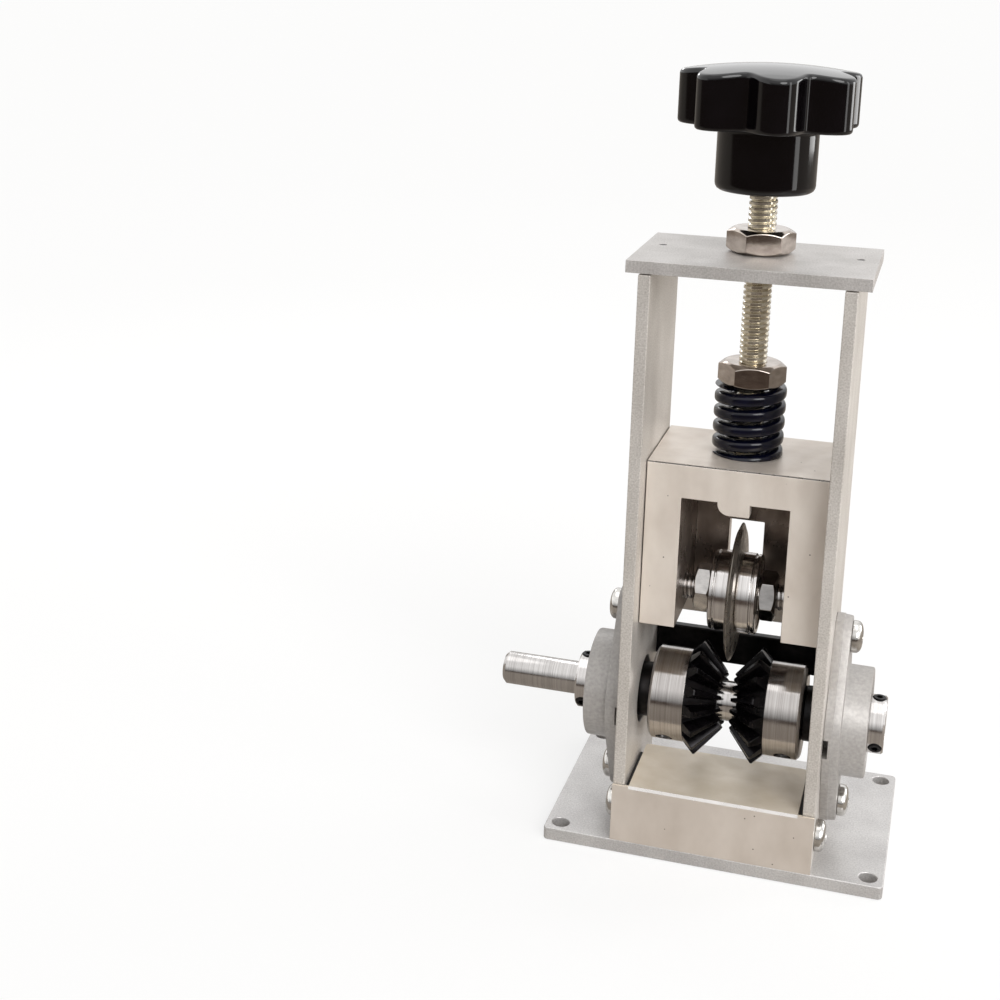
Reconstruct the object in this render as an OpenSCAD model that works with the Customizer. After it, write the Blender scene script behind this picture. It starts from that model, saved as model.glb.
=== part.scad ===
// Manual wire stripping machine: a two-plate frame over a base block, a pair of toothed
// feed wheels on a drive shaft, and a round blade in a block that a hand screw sets.
// Origin: centre of the base plate's underside. +X runs along the drive shaft to its
// plain end, +Y points to the back and +Z points up.

/* [Base] */
// Width of the base plate, along the drive shaft
base_w = 100; // [84:1:140]
// Depth of the base plate, front to back
base_d = 68; // [56:1:100]
// Thickness of the base plate
base_t = 4; // [3:0.5:8]
// Diameter of the four mounting holes
base_hole_d = 5.2; // [4.2:0.1:6]
// Distance from the base plate's edges to the mounting holes
base_hole_inset = 4.5; // [4:0.5:8]
// Height of the base block
block_h = 18; // [15:0.5:19]
// Depth of the base block, front to back
block_d = 28.5; // [24:0.5:32]
// Front lip of the block that covers the side plates' front edges
block_lip = 1; // [0.6:0.1:3]
// Radius of the block's rear corners
block_corner_r = 3; // [1:0.5:6]
// Chamfer along the sides of the block's top land
block_chamfer = 1; // [0.4:0.1:1.6]

/* [Frame] */
// Width over the outsides of the two side plates
frame_w = 59; // [58:0.5:70]
// Thickness of each side plate
side_t = 3.5; // [3:0.1:4]
// Depth of each side plate, front to back
side_d = 45; // [43:0.5:56]
// Height of each side plate
side_h = 172; // [168:1:220]
// Thickness of the top plate
top_t = 3.5; // [3:0.5:6]
// How far the top plate overhangs each side plate sideways
top_over_x = 3.5; // [1:0.5:8]
// How far the top plate overhangs the side plates at front and back
top_over_y = 0.5; // [0.2:0.1:4]
// Diameter of the dowel pins that hold the top plate
dowel_d = 2; // [1.5:0.1:2.5]
// Length of the dowel pins
dowel_len = 12; // [8:1:20]

/* [Drive shaft and feed wheels] */
// Height of the drive shaft above the underside
feed_z = 42; // [41.5:0.25:46]
// Distance from the side plates' rear edges forward to the drive shaft
feed_back = 20.5; // [19.5:0.25:22]
// Diameter of the drive shaft
shaft_d = 12; // [10:0.5:13]
// Diameter of the turned-down end that the drill chuck grips
drive_end_d = 10; // [6:0.5:10]
// Length of the turned-down end
drive_end_len = 24; // [12:1:40]
// Number of teeth on each feed wheel
teeth = 16; // [12:1:24]
// Module of the teeth, pitch diameter over teeth
tooth_module = 2; // [1.5:0.05:2.1]
// Space between the small ends of the two feed wheels
groove_gap = 2.6; // [2.2:0.2:6]
// Share of the cone distance that the teeth leave at their small end
cone_share = 0.5; // [0.4:0.05:0.65]
// Diameter of each feed wheel's hub
hub_d = 28.2; // [24:0.2:30]
// Length of each feed wheel's hub
hub_len = 10.8; // [9:0.2:12]
// Diameter of the spacer sleeves beside the hubs
sleeve_d = 16.4; // [15:0.2:17]

/* [Shaft bearings] */
// Thickness of the housing's flange
flange_t = 4.8; // [4:0.1:6]
// Distance between the two screws of a housing
flange_pitch = 53; // [50:0.5:56]
// Radius of the flange's two ends
flange_end_r = 6.5; // [5.5:0.1:7]
// Width of the flange across the boss
flange_w = 38; // [35:0.5:40]
// Diameter of the housing's boss
boss_d = 32.6; // [31:0.2:34]
// Distance from the side plate to the boss's outer face
boss_len = 12; // [11:0.2:14]
// Depth of the casting's relief grooves behind the flange
relief = 1.6; // [1:0.1:2]
// Outer diameter of the shaft bearing
bearing_od = 26; // [25:0.2:27]
// Width of the shaft bearing's outer ring
bearing_w = 7; // [6:0.2:8]
// Outer diameter of the shaft bearing's inner ring
inner_ring_d = 17; // [16.8:0.1:17.4]
// Length of the shaft bearing's inner ring
inner_ring_len = 15; // [14:0.5:16]
// How far the inner ring stands out of the boss
inner_ring_out = 4.5; // [4:0.5:7]

/* [Blade block] */
// Depth of the sliding block, front to back
slide_d = 37; // [36:0.5:38]
// Height of the sliding block at its legs
slide_h = 50; // [47:0.5:60]
// Running gap between the sliding block and each side plate
slide_gap = 0.3; // [0.1:0.05:0.5]
// Thickness of the block's roof over the pocket
roof_t = 10.2; // [8:0.2:10.6]
// Width of the pocket that holds the blade
pocket_w = 30.6; // [29:0.2:33]
// Thickness of the pocket's back wall
back_wall_t = 5; // [4:0.1:5.4]
// Width of the slot in the back wall
slot_w = 10.4; // [9:0.1:14]
// Space between the blade and the top of that slot
slot_over = 3.5; // [1:0.25:4]
// How far the back wall reaches below the legs
skirt_drop = 7.6; // [5:0.2:8]
// Width of the lip that hangs at the pocket's front
lip_w = 8.8; // [6:0.2:12]
// Height of that lip
lip_h = 3.6; // [2:0.2:4]
// Depth of that lip, front to back
lip_d = 4.5; // [2:0.5:7]

/* [Blade] */
// Height of the blade's axle above the drive shaft at rest
blade_lift = 35.5; // [35:0.25:38]
// How far the legs reach below the blade's axle
leg_drop = 7.1; // [6.8:0.1:9]
// Diameter of the round blade
blade_d = 41; // [38:0.5:42]
// Thickness of the blade
blade_t = 1.8; // [1:0.1:2]
// Width of the blade's ground bevel
bevel = 3; // [1:0.1:5]
// Outer diameter of the two blade bearings
roller_d = 24; // [22:0.5:25]
// Width of each blade bearing
roller_w = 6; // [5:0.1:6.4]
// Diameter of the axle that the blade turns on
axle_d = 8; // [6:0.5:8]
// Width across flats of the axle's two nuts
axle_af = 13; // [12:0.5:14]
// Height of the axle's two nuts
axle_nut_h = 5.2; // [4:0.1:5.4]

/* [Hand screw] */
// Diameter of the hand screw
screw_d = 8; // [6:0.5:9]
// Width across flats of the two large nuts
nut_af = 17; // [15:0.5:19]
// Height of the lock nut and of the spring nut
nut_h = 7; // [5:0.5:8]
// Outer diameter of the pressure spring
spring_d = 20.6; // [19:0.2:22]
// Diameter of the spring's wire
wire_d = 3.2; // [2.6:0.1:3.4]
// Turns of the spring
turns = 5.7; // [5:0.1:6.2]
// Height of the spring as fitted
spring_h = 20; // [19.5:0.25:24]
// Width across flats of the nut under the block's roof
keeper_af = 13; // [12:0.5:14]
// Height of that nut
keeper_h = 4; // [3:0.25:4.25]
// Outer diameter of the star knob
knob_d = 51.2; // [44:0.2:60]
// Depth of the valleys between the knob's lobes
lobe_depth = 6.6; // [4:0.2:8]
// Number of lobes on the knob
lobes = 7; // [5:1:9]
// Height of the knob's lobed head, without its dome
knob_head_h = 14.8; // [10:0.2:18]
// Height of the dome on the head
knob_dome_h = 2.4; // [2:0.1:4]
// Diameter of the knob's hub
knob_hub_d = 28; // [20:0.5:30]
// Height of the knob's hub
knob_hub_h = 17.8; // [12:0.2:24]
// Gap between the lock nut and the knob at rest
knob_gap = 10.5; // [5:0.5:20]

/* [Cable rest] */
// Thickness of the rest bar, front to back
rest_t = 3; // [2.5:0.1:3.2]
// Height of the rest bar
rest_h = 10.5; // [8:0.5:11]
// Distance from the bar's top down to the drive shaft's axis
rest_rise = 14.5; // [14:0.25:15]
// Diameter of the pins at the bar's ends
rest_pin_d = 1.6; // [1.2:0.1:1.8]
// How far each pin reaches into the bar
rest_pin_in = 4; // [2:0.5:6]
// Distance from the bar's top and bottom edges to its pins
rest_pin_edge = 2.5; // [1.5:0.1:3]

/* [Screws] */
// Thread diameter of the frame screws
screw_m = 5; // [4:0.5:5]
// Diameter of their pan heads
head_d = 9.4; // [8:0.2:9.6]
// Height of their pan heads
head_h = 3.2; // [2.5:0.1:3.6]
// Length of the screws that go into the base block
block_screw_len = 14; // [10:1:18]
// Length of the screws that go up through the base plate
base_screw_len = 14; // [10:1:16]
// Distance from the block's front face back to the screws at its sides
block_screw_back = 9; // [6:0.5:12]
// Height of these screws above the base plate
block_screw_up = 8; // [7:0.5:10]
// Distance of the screws under the block from its middle
base_screw_out = 8; // [6:0.5:10]
// Distance from the block's front and back faces to the screws under it
base_screw_in = 6.8; // [6:0.2:8]

/* [Hidden] */
$fn = 64;

// Clearances: a seated piece, a turning piece, a screw in its hole, a stop
fit = 0.02;
running = 0.1;
loose = 0.25;
stop_gap = 0.2;
eps = 0.01;

// Frame places
front_y = -base_d / 2;
block_top = base_t + block_h;
block_back = front_y + block_d;
side_front = front_y + block_lip;
side_back = side_front + side_d;
side_mid = (side_front + side_back) / 2;
side_out = frame_w / 2;
side_in = side_out - side_t;
side_top = base_t + side_h;
top_z = side_top + top_t;

// Feed wheel places, measured from the shaft's middle
feed_y = side_back - feed_back;
pitch_r = teeth * tooth_module / 2;
tip_r = pitch_r + tooth_module * cos(45);
root_r = pitch_r - 1.25 * tooth_module * cos(45);
tip_to_apex = pitch_r - tooth_module * sin(45);
root_to_apex = pitch_r + 1.25 * tooth_module * sin(45);
apex_x = groove_gap / 2 - tip_to_apex * cone_share;
crown_x = apex_x + tip_to_apex;
hub_x = apex_x + root_to_apex;
hub_end = hub_x + hub_len;
small_r = tip_r * cone_share;
root_angle = atan(root_r / root_to_apex);

// Shaft bearing places, measured the same way
flange_x = side_out + flange_t;
boss_x = side_out + boss_len;
ring_end = boss_x + inner_ring_out;
ring_start = ring_end - inner_ring_len;
seat_depth = 1.3;
outer_end = boss_x - seat_depth;
outer_start = outer_end - bearing_w;
ball_x = (outer_start + outer_end) / 2;
race_r = (inner_ring_d / 2 + bearing_od / 2) / 2 - 0.6;
ball_r = (bearing_od - inner_ring_d) / 4;
shoulder_r = bearing_od / 2 - 2;
seal_t = 0.8;
seal_inset = 0.25;
ball_count = 8;
plate_bore = sleeve_d + 4;
ring_screw_d = 4;
ring_screw_x = ring_end - inner_ring_out / 2;
hub_screw_d = 5;
hub_screw_x = (hub_x + hub_end) / 2 + 0.5;
hub_screw_turn = 140;

// Blade block places
slide_w = 2 * (side_in - slide_gap);
slide_back = side_back;
slide_front = slide_back - slide_d;
blade_y = feed_y;
blade_z = feed_z + blade_lift;
leg_z = blade_z - leg_drop;
slide_top = leg_z + slide_h;
roof_z = slide_top - roof_t;
skirt_z = leg_z - skirt_drop;
wall_y = slide_back - back_wall_t;
wall_reach = wall_y - blade_y;
slot_rise = sqrt(pow(blade_d / 2, 2) - pow(wall_reach, 2)) + slot_over;
stack_x = blade_t / 2 + roller_w;
leg_in = pocket_w / 2;
axle_end = slide_w / 2 - 2;
race_d = axle_d + 4;
roller_wall = 2;
roller_in = roller_d / 2 - roller_wall;
shield_t = 0.4;
shield_inset = 0.3;
roller_ball_r = min((roller_in - race_d / 2) / 2 + 0.2, roller_w / 2 - shield_inset - shield_t - 0.1);
roller_ball_at = (roller_in + race_d / 2) / 2;
roller_ball_count = 7;

// Hand screw places
screw_y = (slide_front + slide_back) / 2;
spring_start = 144;
lobe_turn = 12;
spring_z = slide_top + stop_gap;
spring_nut_z = spring_z + spring_h + stop_gap;
keeper_z = roof_z - stop_gap - keeper_h;
screw_bottom = keeper_z - 0.6;
hub_z = top_z + nut_h + knob_gap;
head_z = hub_z + knob_hub_h;
insert_z = hub_z + 1;
insert_h = knob_hub_h + 3;
insert_d = screw_d + 5;
screw_top = insert_z + insert_h - 1;

// Cable rest places
rest_top = feed_z + rest_rise;
rest_back = side_back;
rest_pin_z = [rest_top - rest_pin_edge, rest_top - rest_h + rest_pin_edge];

// Screw places: y and z on the side plates, x and y under the block
block_screw_at = [front_y + block_screw_back, base_t + block_screw_up];
base_screw_at = [base_screw_out, front_y + base_screw_in, block_back - base_screw_in];
screw_tip = 1;
countersink = 2.4;

// A cylinder along X from x0 to x1
module bar_x(x0, x1, d) {
    translate([x0, 0, 0]) rotate([0, 90, 0]) cylinder(d = d, h = x1 - x0);
}

// A ring along X from x0 to x1
module ring_x(x0, x1, d_out, d_in) {
    difference() {
        bar_x(x0, x1, d_out);
        bar_x(x0 - 1, x1 + 1, d_in);
    }
}

// A copy at the left of a piece that is drawn at the right
module left_of_it() {
    mirror([1, 0, 0]) children();
}

// Hexagon with its corners turned down at both ends, standing on z = 0
module hexagon(af, h) {
    corner = af / cos(30) / 2;
    face = af / 2 * 0.97;
    drop = (corner - face) * tan(30);
    intersection() {
        cylinder(r = corner, h = h, $fn = 6);
        rotate_extrude() polygon([[0, 0], [face, 0], [corner, drop], [corner, h - drop],
            [face, h], [0, h]]);
    }
}

module hex_nut(af, h, bore) {
    difference() {
        hexagon(af, h);
        translate([0, 0, -1]) cylinder(d = bore, h = h + 2);
    }
}

// Pan-head screw: the head's seat is at x = 0 and the shank runs to -X
module pan_screw(len) {
    rotate([0, 90, 0]) {
        rotate_extrude() polygon([[0, 0], [head_d / 2, 0], [head_d / 2, head_h * 0.45],
            [head_d / 2 * 0.86, head_h * 0.8], [head_d / 2 * 0.55, head_h], [0, head_h]]);
        translate([0, 0, -len]) cylinder(d = screw_m, h = len + eps);
    }
}

module base_plate() {
    color("gainsboro") difference() {
        translate([-base_w / 2, front_y, 0]) cube([base_w, base_d, base_t]);
        for (x = [-1, 1], y = [-1, 1])
            translate([x * (base_w / 2 - base_hole_inset), y * (base_d / 2 - base_hole_inset), -1])
                cylinder(d = base_hole_d, h = base_t + 2);
        for (x = [-1, 1], i = [1, 2]) translate([x * base_screw_at[0], base_screw_at[i], 0]) {
            translate([0, 0, -1]) cylinder(d = screw_m + 2 * loose, h = base_t + 2);
            translate([0, 0, -eps]) cylinder(d1 = screw_m * 2 + 0.2, d2 = screw_m + 2 * loose,
                h = countersink + 0.2);
        }
    }
}

module base_screws() {
    color("silver") for (x = [-1, 1], i = [1, 2]) translate([x * base_screw_at[0], base_screw_at[i], 0.1]) {
        cylinder(d1 = screw_m * 2 - 0.4, d2 = screw_m, h = countersink);
        cylinder(d = screw_m, h = base_screw_len);
    }
}

// Front lip at full frame width, with a core that fits between the side plates
module base_block() {
    color("gainsboro") difference() {
        union() {
            translate([-side_out, front_y, base_t]) cube([frame_w, block_lip - fit, block_h]);
            intersection() {
                translate([-side_in + fit, front_y, base_t])
                    cube([2 * (side_in - fit), block_d, block_h]);
                union() {
                    translate([-side_in, front_y, base_t])
                        cube([2 * side_in, block_d - block_corner_r, block_h]);
                    translate([-side_in + block_corner_r, front_y, base_t])
                        cube([2 * (side_in - block_corner_r), block_d, block_h]);
                    for (x = [-1, 1])
                        translate([x * (side_in - block_corner_r), block_back - block_corner_r, base_t])
                            cylinder(r = block_corner_r, h = block_h);
                }
            }
        }
        for (x = [-1, 1]) {
            translate([x * side_in, front_y + block_lip + block_d / 2, block_top]) rotate([0, 45, 0])
                cube([block_chamfer * sqrt(2), block_d, block_chamfer * sqrt(2)], center = true);
            translate([x * (side_out - block_screw_len / 2), block_screw_at[0], block_screw_at[1]])
                rotate([0, 90, 0])
                    cylinder(d = screw_m + 2 * fit, h = block_screw_len + 2 * screw_tip, center = true);
            for (i = [1, 2]) translate([x * base_screw_at[0], base_screw_at[i], base_t - 1])
                cylinder(d = screw_m + 2 * fit, h = base_screw_len - base_t + 1 + screw_tip);
        }
    }
}

module side_plate() {
    difference() {
        translate([side_in, side_front, base_t + fit]) cube([side_t, side_d, side_h - fit]);
        translate([0, feed_y, feed_z]) bar_x(side_in - 1, side_out + 1, plate_bore);
        for (z = [-1, 1]) translate([0, feed_y, feed_z + z * flange_pitch / 2])
            bar_x(side_in - 1, side_out + 1, screw_m + 2 * fit);
        translate([0, block_screw_at[0], block_screw_at[1]])
            bar_x(side_in - 1, side_out + 1, screw_m + 2 * loose);
        for (z = rest_pin_z) translate([0, rest_back - rest_t / 2, z])
            bar_x(side_in - 1, side_out + 1, rest_pin_d + 2 * fit);
        translate([side_out - side_t / 2, screw_y, top_z - dowel_len])
            cylinder(d = dowel_d + 2 * fit, h = dowel_len + 1);
    }
}

module left_side_plate() {
    color("lightgray") left_of_it() side_plate();
}

module right_side_plate() {
    color("lightgray") side_plate();
}

module top_plate() {
    color("lightgray") difference() {
        translate([-side_out - top_over_x, side_front - top_over_y, side_top])
            cube([frame_w + 2 * top_over_x, side_d + 2 * top_over_y, top_t]);
        translate([0, screw_y, side_top - 1]) cylinder(d = screw_d + 2 * loose, h = top_t + 2);
        for (x = [-1, 1]) translate([x * (side_out - side_t / 2), screw_y, side_top - 1])
            cylinder(d = dowel_d + 2 * fit, h = top_t + 2);
    }
}

module top_dowels() {
    color("dimgray") for (x = [-1, 1]) translate([x * (side_out - side_t / 2), screw_y, top_z - dowel_len])
        cylinder(d = dowel_d, h = dowel_len);
}

module block_screws() {
    color("silver") for (side = [0, 1]) mirror([side, 0, 0])
        translate([side_out, block_screw_at[0], block_screw_at[1]]) pan_screw(block_screw_len);
}

module flange_screws() {
    color("silver") for (side = [0, 1], z = [-1, 1]) mirror([side, 0, 0])
        translate([flange_x, feed_y, feed_z + z * flange_pitch / 2]) pan_screw(flange_t + side_t - 0.4);
}

// Flat bar that the cable slides over as it enters at the back
module cable_rest() {
    color("#1c1c1e") difference() {
        translate([-side_in + fit, rest_back - rest_t, rest_top - rest_h])
            cube([2 * (side_in - fit), rest_t, rest_h]);
        for (x = [-1, 1], z = rest_pin_z) translate([x * side_in, rest_back - rest_t / 2, z])
            rotate([0, 90, 0]) cylinder(d = rest_pin_d + 2 * fit, h = 2 * rest_pin_in + 0.4, center = true);
    }
}

module rest_pins() {
    color("dimgray") for (side = [0, 1], z = rest_pin_z) mirror([side, 0, 0])
        translate([0, rest_back - rest_t / 2, z]) bar_x(side_in - rest_pin_in, side_out, rest_pin_d);
}

module lock_nut() {
    color("#b9ad9c") translate([0, screw_y, top_z]) hex_nut(nut_af, nut_h, screw_d + 2 * running);
}

// Two-screw flange outline: a boss circle, two end circles and their tangents
module flange_outline() {
    reach = flange_pitch / 2;
    lean = acos((flange_w / 2 - flange_end_r) / reach);
    circle(d = flange_w);
    for (s = [-1, 1]) {
        translate([s * reach, 0]) circle(r = flange_end_r);
        polygon([[s * flange_w / 2 * cos(lean), flange_w / 2 * sin(lean)],
            [s * (reach + flange_end_r * cos(lean)), flange_end_r * sin(lean)],
            [s * (reach + flange_end_r * cos(lean)), -flange_end_r * sin(lean)],
            [s * flange_w / 2 * cos(lean), -flange_w / 2 * sin(lean)]]);
    }
}

module housing() {
    relief_z = (boss_d / 2 + flange_pitch / 2 - flange_end_r) / 2;
    relief_h = 5;
    difference() {
        union() {
            translate([side_out, 0, 0]) rotate([0, 90, 0]) linear_extrude(flange_t) flange_outline();
            bar_x(side_out, boss_x, boss_d);
        }
        bar_x(outer_start - fit, boss_x + 1, bearing_od + 2 * fit);
        bar_x(side_out - 1, boss_x, 2 * shoulder_r);
        for (z = [-1, 1]) {
            translate([0, 0, z * flange_pitch / 2])
                bar_x(side_out - 1, flange_x + 1, screw_m + 2 * loose);
            translate([side_out - 1, -flange_w, z * relief_z - relief_h / 2])
                cube([relief + 1, 2 * flange_w, relief_h]);
        }
    }
}

module left_housing() {
    color("darkgray") translate([0, feed_y, feed_z]) left_of_it() housing();
}

module right_housing() {
    color("darkgray") translate([0, feed_y, feed_z]) housing();
}

// Ring groove that the balls run in
module ball_groove(x, at, r) {
    translate([x, 0, 0]) rotate([0, 90, 0]) rotate_extrude() translate([at, 0]) circle(r = r, $fn = 32);
}

module outer_ring() {
    difference() {
        ring_x(outer_start, outer_end, bearing_od, 2 * shoulder_r);
        ball_groove(ball_x, race_r, ball_r + running);
    }
}

module left_outer_ring() {
    color("silver") translate([0, feed_y, feed_z]) left_of_it() outer_ring();
}

module right_outer_ring() {
    color("silver") translate([0, feed_y, feed_z]) outer_ring();
}

module seals() {
    for (x = [outer_start + seal_inset, outer_end - seal_inset - seal_t])
        ring_x(x, x + seal_t, 2 * (shoulder_r - fit), inner_ring_d + 2 * running);
}

module left_seals() {
    color("#2a2a2c") translate([0, feed_y, feed_z]) left_of_it() seals();
}

module right_seals() {
    color("#2a2a2c") translate([0, feed_y, feed_z]) seals();
}

module balls(x, at, r, count) {
    for (i = [0 : count - 1]) rotate([i * 360 / count, 0, 0])
        translate([x, 0, at]) sphere(r = r, $fn = 24);
}

module left_balls() {
    color("silver") translate([0, feed_y, feed_z]) left_of_it() balls(ball_x, race_r, ball_r, ball_count);
}

module right_balls() {
    color("silver") translate([0, feed_y, feed_z]) balls(ball_x, race_r, ball_r, ball_count);
}

module inner_ring() {
    difference() {
        ring_x(ring_start, ring_end, inner_ring_d, shaft_d + 2 * fit);
        ball_groove(ball_x, race_r, ball_r + running);
        for (a = [0, 120]) rotate([a, 0, 0]) translate([ring_screw_x, 0, 0])
            cylinder(d = ring_screw_d + 2 * fit, h = inner_ring_d);
    }
}

module left_inner_ring() {
    color("silver") translate([0, feed_y, feed_z]) left_of_it() inner_ring();
}

module right_inner_ring() {
    color("silver") translate([0, feed_y, feed_z]) inner_ring();
}

module ring_set_screws() {
    color("#2a2a2c") translate([0, feed_y, feed_z]) for (side = [0, 1], a = [0, 120])
        mirror([side, 0, 0]) rotate([a, 0, 0]) translate([ring_screw_x, 0, shaft_d / 2 + 0.05])
            cylinder(d = ring_screw_d, h = (inner_ring_d - shaft_d) / 2 + 0.2);
}

module drive_shaft() {
    nose = 1;
    color("silver") translate([0, feed_y, feed_z]) {
        bar_x(-ring_end, ring_end, shaft_d);
        bar_x(-ring_end - drive_end_len + nose, -ring_end + eps, drive_end_d);
        translate([-ring_end - drive_end_len, 0, 0]) rotate([0, 90, 0])
            cylinder(d1 = drive_end_d - 2 * nose, d2 = drive_end_d, h = nose + eps);
    }
}

// Space between two teeth: straight cuts along the root cone, which fan out from its apex
module tooth_gap() {
    w = tooth_module * 0.72;
    h = tooth_module * 3;
    for (a = [-1, 1]) rotate([a * 45 / teeth, 0, 0]) translate([apex_x, 0, 0])
        rotate([0, -root_angle, 0]) rotate([90, 0, 90]) linear_extrude(3 * pitch_r)
            polygon([[-w / 2, 0.1], [-w / 2 - h * tan(10), h], [w / 2 + h * tan(10), h], [w / 2, 0.1]]);
}

module feed_wheel() {
    small_x = apex_x + root_to_apex * cone_share;
    difference() {
        rotate([0, 90, 0]) rotate_extrude() polygon([[shaft_d / 2 + fit, small_x],
            [root_r * cone_share, small_x], [small_r, groove_gap / 2], [tip_r, crown_x],
            [root_r, hub_x], [hub_d / 2, hub_x], [hub_d / 2, hub_end], [shaft_d / 2 + fit, hub_end]]);
        for (i = [0 : teeth - 1]) rotate([i * 360 / teeth, 0, 0]) tooth_gap();
        rotate([hub_screw_turn, 0, 0]) translate([hub_screw_x, 0, 0])
            cylinder(d = hub_screw_d + 2 * fit, h = hub_d);
    }
}

module left_feed_wheel() {
    color("#1c1c1e") translate([0, feed_y, feed_z]) left_of_it() feed_wheel();
}

module right_feed_wheel() {
    color("#1c1c1e") translate([0, feed_y, feed_z]) feed_wheel();
}

module hub_set_screws() {
    color("#2a2a2c") translate([0, feed_y, feed_z]) for (side = [0, 1]) mirror([side, 0, 0])
        rotate([hub_screw_turn, 0, 0]) translate([hub_screw_x, 0, shaft_d / 2 + 0.05])
            cylinder(d = hub_screw_d, h = (hub_d - shaft_d) / 2 - 0.8);
}

module left_sleeve() {
    color("#2a2a2c") translate([0, feed_y, feed_z]) left_of_it()
        ring_x(hub_end + fit, ring_start - fit, sleeve_d, shaft_d + 2 * fit);
}

module right_sleeve() {
    color("#2a2a2c") translate([0, feed_y, feed_z])
        ring_x(hub_end + fit, ring_start - fit, sleeve_d, shaft_d + 2 * fit);
}

// Height of the wire's centre after t turns; the end turns are closed and ground flat
function spring_rise(t) =
    let (ends = 1.35, sunk = 0.6, close = wire_d * 1.02,
        open = (spring_h + 2 * sunk - 2 * ends * close) / (turns - 2 * ends))
    t < ends ? t * close - sunk : t > turns - ends ? spring_h + sunk - (turns - t) * close
    : ends * close + (t - ends) * open - sunk;
function spring_point(t, a) =
    let (r = (spring_d - wire_d) / 2 + wire_d / 2 * cos(a), z = spring_rise(t) + wire_d / 2 * sin(a))
    [r * cos(360 * t + spring_start), r * sin(360 * t + spring_start), min(max(z, 0), spring_h)];

module pressure_spring() {
    sides = 10;
    steps = 24;
    last = floor(turns * steps);
    color("#20242c") translate([0, screw_y, spring_z]) polyhedron(
        points = [for (i = [0 : last], k = [0 : sides - 1]) spring_point(i / steps, 360 * k / sides)],
        faces = concat(
            [[for (k = [0 : sides - 1]) k]],
            [for (i = [0 : last - 1], k = [0 : sides - 1]) let (n = (k + 1) % sides, a = i * sides)
                each [[a + k, a + sides + k, a + n], [a + n, a + sides + k, a + sides + n]]],
            [[for (k = [sides - 1 : -1 : 0]) last * sides + k]]));
}

module hand_screw() {
    color("#cfc59a") translate([0, screw_y, screw_bottom])
        cylinder(d = screw_d, h = screw_top - screw_bottom);
}

module spring_nut() {
    color("#b9ad9c") translate([0, screw_y, spring_nut_z]) hex_nut(nut_af, nut_h, screw_d + 2 * fit);
}

module keeper_nut() {
    color("#b9ad9c") translate([0, screw_y, keeper_z]) hex_nut(keeper_af, keeper_h, screw_d + 2 * fit);
}

// Star outline: broad round lobes with narrower valleys, one lobe near the front
module star_outline() {
    swing = lobe_depth / 2;
    steps = lobes * 16;
    polygon([for (i = [0 : steps - 1]) let (a = i * 360 / steps, wave = cos(lobes * a))
        (knob_d / 2 - swing + swing * (wave + 0.4 * (1 - wave * wave)))
            * [cos(a - 90 + lobe_turn), sin(a - 90 + lobe_turn)]]);
}

module star_knob() {
    r = knob_d / 2;
    lip = 2;
    color("#101012") translate([0, screw_y, hub_z]) difference() {
        union() {
            cylinder(d = knob_hub_d, h = knob_hub_h + eps);
            translate([0, 0, knob_hub_h]) intersection() {
                linear_extrude(knob_head_h + knob_dome_h) star_outline();
                rotate_extrude() polygon([[0, 0], [r - lip, 0], [r + eps, lip], [r + eps, knob_head_h - lip],
                    [r - lip, knob_head_h], [r * 0.72, knob_head_h + knob_dome_h * 0.6],
                    [r * 0.4, knob_head_h + knob_dome_h], [0, knob_head_h + knob_dome_h]]);
            }
        }
        translate([0, 0, insert_z - hub_z]) cylinder(d = insert_d + 2 * fit, h = insert_h + 0.2);
        translate([0, 0, -1]) cylinder(d = screw_d + 2 * loose, h = 3);
    }
}

module knob_insert() {
    color("goldenrod") translate([0, screw_y, insert_z]) difference() {
        cylinder(d = insert_d, h = insert_h);
        translate([0, 0, -1]) cylinder(d = screw_d + 2 * fit, h = screw_top - insert_z + 1.2);
    }
}

// Block that carries the blade: roof, two legs, a slotted back wall and a front lip
module sliding_block() {
    lip_r = min(lip_w, lip_h) * 0.9;
    color("#c9bfb2") difference() {
        union() {
            translate([-slide_w / 2, slide_front, leg_z]) cube([slide_w, slide_d, slide_h]);
            translate([-slide_w / 2, wall_y, skirt_z]) cube([slide_w, back_wall_t, skirt_drop + 1]);
        }
        translate([-leg_in, slide_front - 1, leg_z - 1])
            cube([pocket_w, wall_y - slide_front + 1, roof_z - leg_z + 1]);
        translate([-slot_w / 2, wall_y - 1, skirt_z - 1])
            cube([slot_w, back_wall_t + 2, blade_z + slot_rise - skirt_z + 1]);
        translate([0, screw_y, roof_z - 1]) cylinder(d = screw_d + 2 * running, h = roof_t + 2);
        translate([0, blade_y, blade_z]) bar_x(-slide_w / 2 - 1, slide_w / 2 + 1, axle_d + 2 * fit);
    }
    color("#c9bfb2") translate([0, slide_front, 0]) difference() {
        translate([-lip_w / 2, 0, roof_z - lip_h]) cube([lip_w, lip_d, lip_h + eps]);
        translate([-lip_w / 2, -1, roof_z - lip_h]) difference() {
            translate([-1, 0, -1]) cube([lip_r + 1, lip_d + 2, lip_r + 1]);
            translate([lip_r, -1, lip_r]) rotate([-90, 0, 0]) cylinder(r = lip_r, h = lip_d + 4);
        }
    }
}

module blade_axle() {
    color("silver") translate([0, blade_y, blade_z]) bar_x(-axle_end, axle_end, axle_d);
}

module axle_nuts() {
    color("silver") translate([0, blade_y, blade_z]) for (x = [-stack_x - axle_nut_h, stack_x])
        translate([x, 0, 0]) rotate([0, 90, 0]) rotate([0, 0, x < 0 ? 5 : 38])
            hex_nut(axle_af, axle_nut_h, axle_d + 2 * fit);
}

module race() {
    difference() {
        ring_x(blade_t / 2, stack_x, race_d, axle_d + 2 * fit);
        ball_groove(blade_t / 2 + roller_w / 2, roller_ball_at, roller_ball_r + running / 2);
    }
}

module left_race() {
    color("silver") translate([0, blade_y, blade_z]) left_of_it() race();
}

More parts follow.
